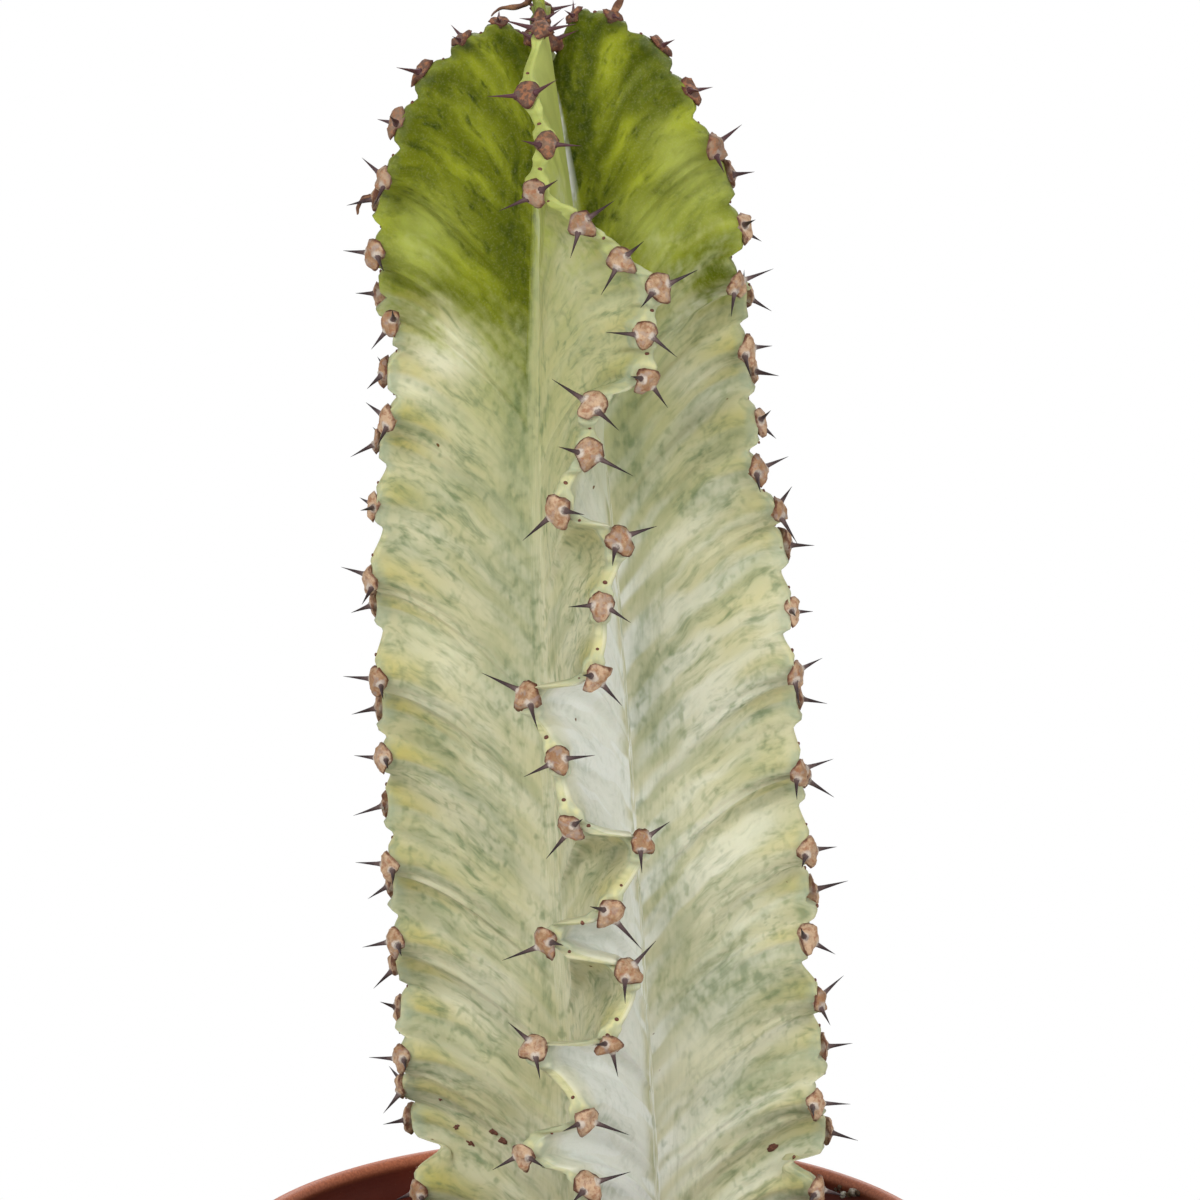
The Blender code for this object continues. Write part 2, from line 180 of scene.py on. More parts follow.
class StemSettings(bpy.types.PropertyGroup):
    """The skin of the stem."""

    row_height: length("Row height", "Height of one row of the skin's mesh", 0.66 * MM)
    flank_columns: number("Flank columns", "Columns of the mesh across one flank of a rib", 19, 4)
    crest_half_width: length("Crest half width", "Half the width of the edge between pads", 1.25 * MM)
    crest_crown: length("Crest crown", "How far the edge is rounded outwards", 0.9 * MM)
    pad_swell: length("Pad swell", "How far the edge stands out under a pad", 0.7 * MM)
    notch_depth: length("Notch depth", "How far the edge draws in below a pad", 1.9 * MM)
    furrow_depth: length("Furrow depth", "Relief of the slanting furrows on a flank", 1.25 * MM)
    cream: colour("Cream", "Ground colour of the variegated skin", 200, 197, 164)
    beige: colour("Beige", "Beige patches of the ground", 188, 184, 142)
    # Also the colour of the painted shade in the creases of the folds
    mottle: colour("Mottle", "Grey-green flecks and streaks", 104, 122, 84)
    ripe: colour("Ripe", "Olive cream of the upper stem, below the young growth", 158, 160, 84)
    # Olive-yellow patches, which also paint the light on the upper side of each fold above a pad
    yellow: colour("Yellow", "Olive-yellow patches by the edges", 184, 172, 78)
    # Pale waxy bloom; on the front rib's right flank also painted light from the right
    wax: colour("Wax", "Pale waxy bloom", 228, 230, 222)
    pale: colour("Pale", "Bleached cream blotches", 227, 225, 197)
    # Pale yellow crest, brightest just above a pad as a painted highlight on its lit upper side
    crest: colour("Crest", "Pale yellow edge above a pad", 228, 219, 154)
    shade: colour("Shade", "Grey-green skin under a pad", 158, 168, 144)
    young: colour("Young growth", "Olive of the young top", 98, 106, 6)
    # Pale blotches of the young top, and painted light that brightens the young top of the front rib's flanks
    young_pale_and_painted_light: colour("Young light", "Pale yellow-green of the front rib's top", 188, 196, 112)
    young_bright: colour("Young bright", "Yellow-green patches of the young top", 152, 160, 40)
    # Also the colour of the painted shade in the creases of the young top
    young_dark_and_crease_shade: colour("Young dark", "Dark green streaks of the young top", 42, 56, 2)
    scar: colour("Scar", "Small corky scars", 104, 72, 40)


class PadSettings(bpy.types.PropertyGroup):
    """The horny pads and their spines."""

    pad_length: length("Pad length", "Length of a pad along the rib's edge", 7.4 * MM)
    pad_width: length("Pad width", "Width of a pad across the rib's edge", 5.4 * MM)
    pad_rise: length("Pad rise", "Height of a pad's middle above the skin", 1.0 * MM)
    spine_length: length("Spine length", "Length of a full-grown spine", 8.0 * MM)
    spine_radius: length("Spine radius", "Radius of a spine at its foot", 0.72 * MM)
    cork: colour("Cork", "Pinkish tan of a pad", 190, 160, 130)
    cork_dark: colour("Dark cork", "Browner cork", 150, 116, 84)
    rim: colour("Rim", "Dark rim of a pad", 88, 48, 36)
    # Grey-white cork by a spine, also a painted highlight there
    lobe: colour("Lobe", "Grey-white cork by a spine", 200, 190, 178)
    bloom: colour("Bloom", "Grey-lilac bloom on a pad", 152, 136, 128)
    blush: colour("Blush", "Rust-brown blotches of a pad", 144, 94, 64)
    young_cork: colour("Young cork", "Pads near the growing tip", 74, 46, 38)
    spine_foot: colour("Spine foot", "Grey-lilac foot of a spine", 88, 70, 68)
    spine_middle: colour("Spine middle", "Purple-brown middle of a spine", 54, 40, 42)
    young_spine: colour("Young spine", "Purple-brown of the spines by the growing tip", 88, 50, 54)
    spine_tip: colour("Spine tip", "Nearly black tip of a spine", 30, 22, 24)
    leaf: colour("Dried leaf", "Brown of a shrivelled leaf", 96, 62, 44)
    leaf_pale: colour("Pale leaf", "Straw-coloured parts of a shrivelled leaf", 142, 102, 72)


class PotSettings(bpy.types.PropertyGroup):
    """The nursery pot."""

    segments: number("Segments", "Segments round the pot", 160, 32)
    plastic: colour("Plastic", "Brick brown of the pot", 140, 62, 42)
    # Darker clouds in the plastic; also painted shade over the pot's inner wall
    plastic_dark_and_inner_shade: colour("Dark plastic", "Darker clouds in the plastic", 84, 30, 20)
    # Painted highlight: the paler colour on top of the lip stands for the light falling on it
    lip: colour("Lip", "Worn, paler plastic on top of the lip", 196, 116, 82)
    dust: colour("Dust", "Dried splashes and dust", 164, 128, 104)


class SoilSettings(bpy.types.PropertyGroup):
    """The potting mix and what lies on it."""

    crumbs: number("Crumbs", "Loose crumbs on top", 900)
    granules: number("Granules", "White perlite granules", 85)
    fibres: number("Fibres", "Thin fibres and bark slivers", 70)
    peat: colour("Peat", "Dark peat", 52, 38, 28)
    peat_pale: colour("Pale peat", "Dry crumbs", 104, 80, 58)
    perlite: colour("Perlite", "White granules", 226, 224, 214)
    fibre: colour("Fibre", "Wood fibre and bark", 132, 96, 62)


class StageSettings(bpy.types.PropertyGroup):
    """Floor, lamps and camera."""

    camera_place: bpy.props.FloatVectorProperty(
        name="Camera place", description="Where the camera stands", subtype="XYZ", unit="LENGTH",
        default=(0.00274, -1.87456, 0.84714),
    )
    camera_pitch: bpy.props.FloatProperty(
        name="Camera pitch", description="How far the camera looks down", unit="ROTATION",
        default=math.radians(16.03),
    )
    focal_length: bpy.props.FloatProperty(
        name="Focal length", description="Focal length of the lens in millimetres", default=262.56, min=1
    )
    floor: colour("Floor", "Pale floor", 236, 236, 234)


SETTINGS = {
    "spurge_stem": StemSettings,
    "spurge_pads": PadSettings,
    "spurge_pot": PotSettings,
    "spurge_soil": SoilSettings,
    "spurge_stage": StageSettings,
}


# ---------------------------------------------------------------- the shape of the stem

def knot_slope(knots, i):
    """Slope of a smooth curve at one of its knots."""
    before = knots[max(i - 1, 0)]
    after = knots[min(i + 1, len(knots) - 1)]
    return (after[1] - before[1]) / (after[0] - before[0])


def smooth_at(knots, x):
    """Read a smooth curve through (position, value) knots at x, held level beyond its ends."""
    if x <= knots[0][0]:
        return knots[0][1]
    if x >= knots[-1][0]:
        return knots[-1][1]
    i = max(k for k in range(len(knots) - 1) if knots[k][0] <= x)
    (x0, y0), (x1, y1) = knots[i], knots[i + 1]
    span = x1 - x0
    t = (x - x0) / span
    rise = 3 * t**2 - 2 * t**3
    start_push = (t**3 - 2 * t**2 + t) * span * knot_slope(knots, i)
    end_push = (t**3 - t**2) * span * knot_slope(knots, i + 1)
    return y0 * (1 - rise) + y1 * rise + start_push + end_push


def smoothstep(low, high, x):
    """0 below low, 1 above high and a smooth rise between them."""
    t = min(max((x - low) / (high - low), 0), 1)
    return t * t * (3 - 2 * t)


EDGE_RADII = [(row[0], row[1]) for row in STEM_FORM]
EDGE_HEIGHTS = [(row[0], row[2]) for row in STEM_FORM]
VALLEY_RADII = [(row[0], row[3]) for row in STEM_FORM]
VALLEY_HEIGHTS = [(row[0], row[4]) for row in STEM_FORM]
SHIFT_KNOTS = [[(BURIED_STATIONS[0], 0), *pads, (TOP_STATION, 0)] for pads in PADS]


def edge_at(rib, station):
    """Radius and height of a rib's edge at a station, in metres."""
    radius = smooth_at(EDGE_RADII, station) * MM
    height = smooth_at(EDGE_HEIGHTS, station) * MM
    return radius, height + TIP_LIFTS[rib] * smooth_at(TIP_FORM, station)


def valley_at(station):
    """Radius and height of the valley between two ribs at a station, in metres."""
    return smooth_at(VALLEY_RADII, station) * MM, smooth_at(VALLEY_HEIGHTS, station) * MM


def edge_normal(rib, station):
    """Outward direction of a rib's edge at a station, as (outward, upward)."""
    step = 0.5
    r0, z0 = edge_at(rib, station - step)
    r1, z1 = edge_at(rib, station + step)
    along = Vector((r1 - r0, z1 - z0)).normalized()
    return Vector((along.y, -along.x))


def slimness_at(station):
    """How slim an edge is at a station: 1 on the old stem and less towards the tip."""
    return smooth_at(EDGE_FORM, station) / EDGE_FORM[0][1]


def across_rib(rib):
    """Level direction across a rib, towards the next rib on the left."""
    azimuth = RIB_AZIMUTHS[rib]
    return Vector((-math.sin(azimuth), math.cos(azimuth), 0))


def out_of_edge(rib, station):
    """Direction straight out of a rib's edge at a station."""
    azimuth = RIB_AZIMUTHS[rib]
    normal = edge_normal(rib, station)
    return Vector((math.cos(azimuth), math.sin(azimuth), 0)) * normal.x + Vector((0, 0, normal.y))


def edge_place(rib, station, shift, proud):
    """Distance out and height of a point proud of a rib's edge, drawn in where the edge swings."""
    radius, height = edge_at(rib, station)
    normal = edge_normal(rib, station)
    drawn_in = min(DRAW_IN * shift**2, MOST_DRAWN_IN)
    return radius + proud * normal.x - drawn_in, height + proud * normal.y


def from_axis(rib, out, side, height):
    """Point at a distance out along a rib and to its side, from the stem's leaning axis."""
    azimuth = RIB_AZIMUTHS[rib]
    x = AXIS_X_AT_BASE + LEAN * height
    return Vector((
        x + out * math.cos(azimuth) - side * math.sin(azimuth),
        out * math.sin(azimuth) + side * math.cos(azimuth),
        height,
    ))


def shift_at(rib, station):
    """Sideways swing of a rib's edge at a station, in metres."""
    return smooth_at(SHIFT_KNOTS[rib], station) * MM


def pads_around(rib, station):
    """The pads below and above a station, and how far the station is from the lower to the upper one."""
    pads = PADS[rib]
    if station <= pads[0][0]:
        return 0, 0, 0
    if station >= pads[-1][0]:
        return len(pads) - 1, len(pads) - 1, 0
    i = max(k for k in range(len(pads) - 1) if pads[k][0] <= station)
    return i, i + 1, (station - pads[i][0]) / (pads[i + 1][0] - pads[i][0])


# A tooth of an edge, in mm: where it starts to fall above its pad, the length of its notch, the least fall,
# and where it rises again below the next pad
TOOTH_TOP = 2.2
NOTCH_LENGTH = 4.2
LEAST_FALL = 5.0
TOOTH_FOOT = (2.9, 4.8)


def tooth_at(rib, station):
    """Form of a toothed edge: 1 at a pad, and down to 0 in the notch just below the next pad."""
    lower, upper, _ = pads_around(rib, station)
    above_lower = station - PADS[rib][lower][0]
    below_upper = PADS[rib][upper][0] - station
    gap = above_lower + below_upper
    if gap == 0:
        return 1
    falling = 1 - smoothstep(TOOTH_TOP, max(gap - NOTCH_LENGTH, LEAST_FALL), above_lower)
    rising = 1 - smoothstep(*TOOTH_FOOT, below_upper)
    return max(falling, rising)


def crest_point(rib, station, proud=0):
    """Point on the middle of a rib's edge."""
    shift = shift_at(rib, station)
    out, height = edge_place(rib, station, shift, proud)
    return from_axis(rib, out, shift, height)


def crest_frame(rib, station, proud=0):
    """Point on a rib's edge with its tangent, its outward and its sideways direction."""
    step = 1.6
    tangent = (crest_point(rib, station + step) - crest_point(rib, station - step)).normalized()
    outward = out_of_edge(rib, station)
    outward = (outward - tangent * outward.dot(tangent)).normalized()
    return crest_point(rib, station, proud), tangent, outward, tangent.cross(outward)


def relative_swing(rib, index):
    """How far a pad swings out from the line between its two neighbours, in mm."""
    knots = SHIFT_KNOTS[rib]
    (s0, y0), (s1, y1), (s2, y2) = knots[index:index + 3]
    share = (s1 - s0) / (s2 - s0)
    return y1 - (y0 + (y2 - y0) * share)


# ---------------------------------------------------------------- helpers for meshes and materials

def deselect_all():
    """Leave nothing selected, in object mode."""
    if bpy.context.mode != "OBJECT":
        bpy.ops.object.mode_set(mode="OBJECT")
    bpy.ops.object.select_all(action="DESELECT")


def primitive(kind, name, **settings):
    """Add one of Blender's primitives, under a name."""
    deselect_all()
    getattr(bpy.ops.mesh, f"primitive_{kind}_add")(**settings)
    item = bpy.context.object
    item.name = name
    item.data.name = name
    return item


def new_object(name, data):
    """Put an object into the scene, at the origin."""
    item = bpy.data.objects.new(name, data)
    bpy.context.scene.collection.objects.link(item)
    return item


def cut_level(heights):
    """Cut the new shape's faces at some heights, so that it can bend there."""
    bpy.ops.object.mode_set(mode="EDIT")
    for height in heights:
        bpy.ops.mesh.select_all(action="SELECT")
        bpy.ops.mesh.bisect(plane_co=(0, 0, height), plane_no=(0, 0, 1))
    bpy.ops.object.mode_set(mode="OBJECT")


def facing(sideways, along, outward):
    """The turn that lays a shape's X, Y and Z along three directions."""
    return Matrix((sideways, along, outward)).transposed()


def placed(point, turn, sizes):
    """Matrix that scales a shape, turns it and moves it to a point."""
    return Matrix.Translation(point) @ (turn @ Matrix.Diagonal(sizes)).to_4x4()


def random_vector(rng, reach):
    """A vector with three random numbers from 0 to reach."""
    return Vector((rng.uniform(0, reach), rng.uniform(0, reach), rng.uniform(0, reach)))


def apply_modifiers(item):
    """Apply an object's modifiers in order."""
    deselect_all()
    item.select_set(True)
    bpy.context.view_layer.objects.active = item
    for modifier in list(item.modifiers):
        bpy.ops.object.modifier_apply(modifier=modifier.name)


def dress(item, material, slot, *nodes):
    """Give a finished piece its material and its body, and hide the nodes that it stands for; its slot is not
    used.
    """
    item.data.materials.clear()
    item.data.materials.append(material)
    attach(item, "root")
    if nodes:
        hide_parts(*nodes)


def copies_of(shape, name, placings):
    """One object made of copies of a shape, each placed by a matrix and marked with its own numbers.

    Each placing is (matrix, change, marks). The change moves a corner before it is placed, or is None, and
    the marks are attribute names with the value that every corner of the copy gets.
    """
    corners = [v.co.copy() for v in shape.data.vertices]
    faces = [tuple(p.vertices) for p in shape.data.polygons]
    own = {a.name: [d.value for d in a.data] for a in shape.data.attributes if a.name.startswith("part_")}
    places, polygons = [], []
    marks = {}
    for matrix, change, numbers in placings:
        first = len(places)
        places += [matrix @ (change(co) if change else co) for co in corners]
        polygons += [tuple(first + i for i in face) for face in faces]
        for key, value in numbers.items():
            marks.setdefault(key, []).extend([value] * len(corners))
    mesh = bpy.data.meshes.new(name)
    mesh.from_pydata(places, [], polygons)
    for key, values in own.items():
        marks[key] = values * len(placings)
    for key, values in marks.items():
        add_attribute(mesh, key, values)
    mesh.shade_smooth()
    bpy.data.objects.remove(shape, do_unlink=True)
    return new_object(name, mesh)


def in_order(mesh):
    """Number a mesh's points and faces by where they lie, as some tools leave them in no fixed order."""
    order = sorted(range(len(mesh.vertices)), key=lambda i: mesh.vertices[i].co[:])
    numbers = {old: new for new, old in enumerate(order)}
    faces = []
    for polygon in mesh.polygons:
        corners = [numbers[i] for i in polygon.vertices]
        first = corners.index(min(corners))
        faces.append(corners[first:] + corners[:first])
    points = [mesh.vertices[i].co[:] for i in order]
    mesh.clear_geometry()
    mesh.from_pydata(points, [], sorted(faces))
    mesh.update()


def add_attribute(mesh, name, values):
    """Store one number a corner on a mesh, for its material to read."""
    mesh.attributes.new(name, "FLOAT", "POINT").data.foreach_set("value", values)


class Nodes:
    """A node tree under construction: short names for adding and joining nodes."""

    def __init__(self, tree):
        self.tree = tree

    def node(self, kind, inputs=None, **settings):
        """Add a node, set it and fill its sockets with values or with other nodes' outputs."""
        node = self.tree.nodes.new(kind)
        for key, value in settings.items():
            setattr(node, key, value)
        for key, value in (inputs or {}).items():
            if isinstance(value, bpy.types.NodeSocket):
                self.tree.links.new(value, node.inputs[key])
            else:
                node.inputs[key].default_value = value
        return node

    def place(self):
        """Object coordinates."""
        return self.node("ShaderNodeTexCoord").outputs["Object"]

    def height_of(self, vector):
        """The upward part of a vector."""
        return self.node("ShaderNodeSeparateXYZ", {"Vector": vector}).outputs["Z"]

    def attribute(self, name, output="Fac"):
        """A number or a vector stored on the mesh."""
        return self.node("ShaderNodeAttribute", attribute_name=name).outputs[output]

    def stretched(self, vector, sizes):
        """A vector divided by the size in mm that one feature has, along each axis or along all of them."""
        sizes = sizes if isinstance(sizes, tuple) else (sizes,) * 3
        scale = tuple(1 / (size * MM) for size in sizes)
        return self.node("ShaderNodeMapping", {"Vector": vector, "Scale": scale}).outputs["Vector"]

    def noise(self, vector, sizes, detail=3, roughness=0.55):
        """Cloudy noise with features of these sizes in mm."""
        inputs = {"Vector": self.stretched(vector, sizes), "Scale": 1}
        inputs |= {"Detail": detail, "Roughness": roughness}
        return self.node("ShaderNodeTexNoise", inputs).outputs["Fac"]

    def ramp(self, value, low, high, start=0.0, end=1.0):
        """Smoothly map low..high to start..end."""
        inputs = {"Value": value, "From Min": low, "From Max": high, "To Min": start, "To Max": end}
        return self.node("ShaderNodeMapRange", inputs, interpolation_type="SMOOTHSTEP").outputs["Result"]

    def math(self, operation, a, b, clamp=False):
        """One sum on two numbers, kept from 0 to 1 if it is clamped."""
        node = self.node("ShaderNodeMath", {0: a, 1: b}, operation=operation, use_clamp=clamp)
        return node.outputs["Value"]

    def vector_math(self, operation, a, b):
        """One sum on two vectors."""
        return self.node("ShaderNodeVectorMath", {0: a, 1: b}, operation=operation).outputs["Vector"]

    def centred(self, value):
        """A noise's value less its middle."""
        return self.math("SUBTRACT", value, 0.5)

    def times(self, *values):
        """Product of several numbers."""
        product = values[0]
        for value in values[1:]:
            product = self.math("MULTIPLY", product, value)
        return product

    def mix(self, share, a, b):
        """Mix two colours by a share."""
        a, b = (c if isinstance(c, bpy.types.NodeSocket) else (*c, 1) for c in (a, b))
        return self.node("ShaderNodeMix", {0: share, 6: a, 7: b}, data_type="RGBA").outputs[2]

    def coats(self, colour, *coats):
        """Lay coats over a colour, each given as its share and its own colour."""
        for share, coat in coats:
            colour = self.mix(share, colour, coat)
        return colour

    def bump(self, height, distance, strength=1.0, below=None):
        """A bump from a height pattern, on top of another bump if one is given."""
        inputs = {"Height": height, "Distance": distance, "Strength": strength}
        if below is not None:
            inputs["Normal"] = below
        return self.node("ShaderNodeBump", inputs).outputs["Normal"]


class Finish(Nodes):
    """A material under construction."""

    def __init__(self, name, roughness, **constants):
        self.material = bpy.data.materials.new(name)
        self.material.use_nodes = True
        super().__init__(self.material.node_tree)
        self.shader = self.tree.nodes["Principled BSDF"]
        self.shader.inputs["Roughness"].default_value = roughness
        for key, value in constants.items():
            self.shader.inputs[key.replace("_", " ")].default_value = value

    def finish(self, colour, roughness=None, normal=None):
        """Join the patterns to the shader and return the material."""
        for name, pattern in (("Base Color", colour), ("Roughness", roughness), ("Normal", normal)):
            if pattern is not None:
                self.tree.links.new(pattern, self.shader.inputs[name])
        return self.material


# ---------------------------------------------------------------- the stem's skin

# Character of each flank, by rib and side: shares of waxy bloom, yellow patches (partly painted light
# above the pads), painted light that brightens the young growth and a pale seam in the valley, and the
# heights in mm where the young green starts. Side 1 is towards the next rib on the left.
Flank = namedtuple("Flank", "wax yellow light seam green_at_edge green_at_valley")
FLANKS = {
    (FRONT, -1): Flank(0.1, 0.5, 0.7, 0.3, 398, 388),
    # Front rib's right flank: its whiteness is waxy bloom with painted light from the right
    (FRONT, 1): Flank(1.0, 0.1, 1.0, 1.0, 400, 388),
    (RIGHT, -1): Flank(0.3, 0.6, 0, 1.0, 381, 370),
    (RIGHT, 1): Flank(0.3, 0.7, 0, 0.4, 384, 370),
    (BACK, -1): Flank(0.6, 0.4, 0.3, 0.4, 390, 366),
    (BACK, 1): Flank(0.2, 0.8, 0, 0.6, 378, 360),
    (LEFT, -1): Flank(0.35, 0.6, 0, 0.6, 382, 362),
    (LEFT, 1): Flank(0.1, 0.9, 0, 0.3, 376, 362),
}

# Blotches that stand out: rib, side, height, place from valley 0 to edge 1, half height, half width, strength
PALE_BLOTCHES = (
    (LEFT, 1, 392, 0.75, 9, 0.22, 0.9),
    (LEFT, 1, 368, 0.6, 7, 0.28, 1.0),
    (LEFT, 1, 361, 0.84, 5, 0.18, 0.9),
    (LEFT, 1, 297, 0.65, 12, 0.3, 0.6),
    (LEFT, 1, 210, 0.6, 16, 0.3, 0.3),
    (RIGHT, -1, 407, 0.8, 11, 0.2, 1.0),
    (RIGHT, -1, 395, 0.45, 7, 0.2, 0.7),
    (RIGHT, -1, 361, 0.6, 6, 0.25, 0.6),
    (RIGHT, -1, 322, 0.5, 6, 0.25, 0.5),
    (RIGHT, -1, 262, 0.6, 8, 0.3, 0.4),
    (RIGHT, -1, 212, 0.5, 48, 0.5, 0.35),
    (RIGHT, -1, 207, 0.3, 9, 0.2, 0.7),
)
DARK_BLOTCHES = (
    (LEFT, 1, 392, 0.2, 13, 0.14, 0.9),
    (LEFT, 1, 423, 0.55, 10, 0.3, 0.5),
    (LEFT, 1, 343, 0.16, 9, 0.09, 1.0),
    (LEFT, 1, 333, 0.62, 4, 0.3, 0.6),
    (LEFT, 1, 360, 0.1, 16, 0.12, 0.8),
    (LEFT, 1, 318, 0.2, 14, 0.12, 0.7),
    (LEFT, 1, 300, 0.08, 22, 0.1, 0.6),
    (LEFT, 1, 290, 0.3, 10, 0.15, 0.5),
    (LEFT, 1, 255, 0.35, 9, 0.15, 0.5),
    (RIGHT, -1, 421, 0.2, 18, 0.16, 1.0),
    (RIGHT, -1, 430, 0.3, 9, 0.22, 0.8),
    (RIGHT, -1, 388, 0.85, 5, 0.2, 0.7),
    (RIGHT, -1, 345, 0.16, 15, 0.12, 0.9),
    (RIGHT, -1, 345, 0.8, 5, 0.2, 0.6),
    (RIGHT, -1, 334, 0.6, 4, 0.3, 0.7),
    (RIGHT, -1, 290, 0.12, 14, 0.1, 0.8),
    (RIGHT, -1, 270, 0.85, 4, 0.2, 0.5),
    (RIGHT, -1, 222, 0.6, 6, 0.35, 1.0),
    (RIGHT, -1, 245, 0.15, 16, 0.1, 0.8),
    (RIGHT, -1, 214, 0.3, 8, 0.25, 0.7),
    (RIGHT, -1, 195, 0.5, 5, 0.2, 0.6),
)

# Deep notches in the edges: rib, station, half height and depth
DEEP_NOTCHES = ((LEFT, 178.6, 2.5, 5.5 * MM), (RIGHT, 177.0, 1.8, 5.5 * MM))

# Folds of a flank, as shares of the gap between two pads: the top above the lower pad, the crease below the
# upper one
FOLD_TOP = 0.25
FOLD_CREASE = 0.93

# The edge by its pads: half the width of a pad's seat, how far from the pad's middle the seat ends, how much
# wider an edge that slants may be, how deep it lies where it runs level to a pad, and its clearance there
SEAT_HALF_WIDTH = 2.3 * MM
SEAT_ENDS = (2.6 * MM, 4.6 * MM)
MOST_SLANT = 6.5
LEVEL_LINK_SINK = 1.7 * MM
PAD_CLEARANCE = 2.6 * MM

# How upright the edge rises from a pad before it swings over, its tooth form below the lowest pads, and the
# angles of the points on its rounded crest
UPRIGHT_START = 1.5
BARE_TOOTH = 0.3
CROWN_ANGLES = tuple(math.radians(a) for a in (-60, -30, 0, 30, 60))

# Streaks of neighbouring flanks lie this far apart in their pattern, in metres, so that no two are alike
FLOW_GAP = 0.37


class SkinRow:
    """What one row of the skin needs to know about one rib."""

    def __init__(self, rib, station, settings):
        self.rib = rib
        self.station = station
        self.settings = settings
        slim = slimness_at(station)
        bare = station < PADS[rib][BARE_PADS][0] - 4
        tooth = BARE_TOOTH if bare else tooth_at(rib, station)
        self.lift = (-settings.notch_depth + (settings.notch_depth + settings.pad_swell) * tooth) * slim
        for owner, middle, half, depth in DEEP_NOTCHES:
            if owner == rib:
                self.lift -= depth * math.exp(-(((station - middle) / half) ** 2))
        self.shift = swing_at(rib, station)
        self.radius, self.height = edge_place(rib, station, self.shift, 0)
        self.normal = edge_normal(rib, station)
        slopes = [(swing_at(rib, station + step) - self.shift) / (step * MM) for step in (-1, -0.5, 0.5, 1)]
        slant = (slopes[1] + slopes[2]) / 2
        self.from_pad = pad_distance(rib, station, self.shift)
        seat = 1 - smoothstep(*SEAT_ENDS, self.from_pad)
        widening = (min(MOST_SLANT, math.hypot(1, slant)) - 1) * (1 - 0.65 * seat)
        narrow = settings.crest_half_width * slim
        self.half = min(narrow * (1 + widening), max(narrow, self.from_pad - PAD_CLEARANCE))
        self.lift -= LEVEL_LINK_SINK * seat * smoothstep(1.2, 3, max(abs(slope) for slope in slopes))
        self.seat = max(0, SEAT_HALF_WIDTH * slim - self.half) * seat
        self.crown = settings.crest_crown * slim * (1 - 0.85 * seat)
        self.valley_radius, self.valley_height = valley_at(station)
        self.inner = self.valley_radius * math.cos(HALF_RIB_ANGLE)
        self.base = self.valley_radius * math.sin(HALF_RIB_ANGLE)
        self.reach = math.hypot(self.radius - self.inner, self.height - self.valley_height)

    def fold(self, side, t):
        """Share of the way between two pads that a flank's fold has there, and the fold's strength."""
        wander = noise.noise(Vector((self.station / 17, t * 2.3, self.rib * 7 + side * 3))) * 5 * (1 - t)
        lower, upper, share = pads_around(self.rib, self.station + wander)
        key = self.rib * 200 + side * 50
        first, second = (random.Random(key + pad).uniform(0.25, 1.2) for pad in (lower, upper))
        return share, first + (second - first) * share

    def flank_place(self, t):
        """Distance out, half width and height on a flank before it is folded."""
        by_edge = smoothstep(0.72, 1, t)
        out = self.inner + (self.radius - self.inner) * t + self.lift * self.normal.x * by_edge
        width = self.half + (self.base - self.half) * (1 - t) ** 1.7 + self.seat * smoothstep(0.8, 1, t)
        z = self.valley_height + (self.height - self.valley_height) * (1 - (1 - t) ** 1.6)
        return out, width, z + self.lift * self.normal.y * by_edge

    def flank_point(self, side, t):
        """Point on a flank: side is -1 or 1, and t runs from 0 in the valley to 1 at the edge."""
        out, width, z = self.flank_place(t)
        share, strength = self.fold(side, t)
        reach = smoothstep(0.2, 0.8, t) * (1 - 0.6 * smoothstep(0.9, 1, t))
        reach *= min(1, self.reach / (30 * MM))
        width += self.settings.furrow_depth * strength * (fold_wave(share) - 0.45) * reach
        place = from_axis(self.rib, out, side * width + self.shift * t**1.6, z)
        grain = min(1, width / (4 * MM)) * smoothstep(0, 0.12, t)
        swell = noise.noise(place / (14 * MM)) * 0.5 * MM + noise.noise(place / (4 * MM)) * 0.12 * MM
        return place + across_rib(self.rib) * side * swell * grain

    def crown_point(self, angle):
        """Point on the rounded crest, at an angle from its middle."""
        proud = self.lift + self.crown * math.cos(angle)
        side = self.shift + (self.half + self.seat) * math.sin(angle)
        out = self.radius + proud * self.normal.x
        return from_axis(self.rib, out, side, self.height + proud * self.normal.y)

    def flow(self, side, t):
        """Coordinates that the streaks follow: in from the edge, up along the rib, and one for each flank."""
        return ((1 - t) * self.reach, self.station * MM, (self.rib * 2 + (side + 1) / 2) * FLOW_GAP)

    def marks(self, side, t, angle=None):
        """Numbers that the skin's material reads at a point: where it lies and how it is tinted."""
        inwards = 1 - t
        from_crest = self.half + inwards * self.reach
        if angle is not None:
            from_crest = self.half * abs(math.sin(angle))
        look = FLANKS[(self.rib, side)]
        across = FLANKS[((self.rib + side) % len(RIB_AZIMUTHS), -side)]
        z = self.flank_place(t)[2] / MM
        share, strength = self.fold(side, t)
        from_pad = math.hypot(self.from_pad / (4.2 * MM), from_crest / (3.2 * MM))
        on_crest = 1 - smoothstep(0.5 * MM, 2.2 * MM, from_crest)
        # Painted shade: a dark line in the crease of each fold, just below a pad and just above the lower one
        crease_shade_below_pad = smoothstep(0.8, 0.93, share) * (1 - smoothstep(0.97, 1.1, share))
        crease = min(1, crease_shade_below_pad + 1 - smoothstep(-0.03, 0.1, share))
        inner_fade = smoothstep(0.25, 0.75, t) * (1 - 0.5 * smoothstep(0.9, 1, t))
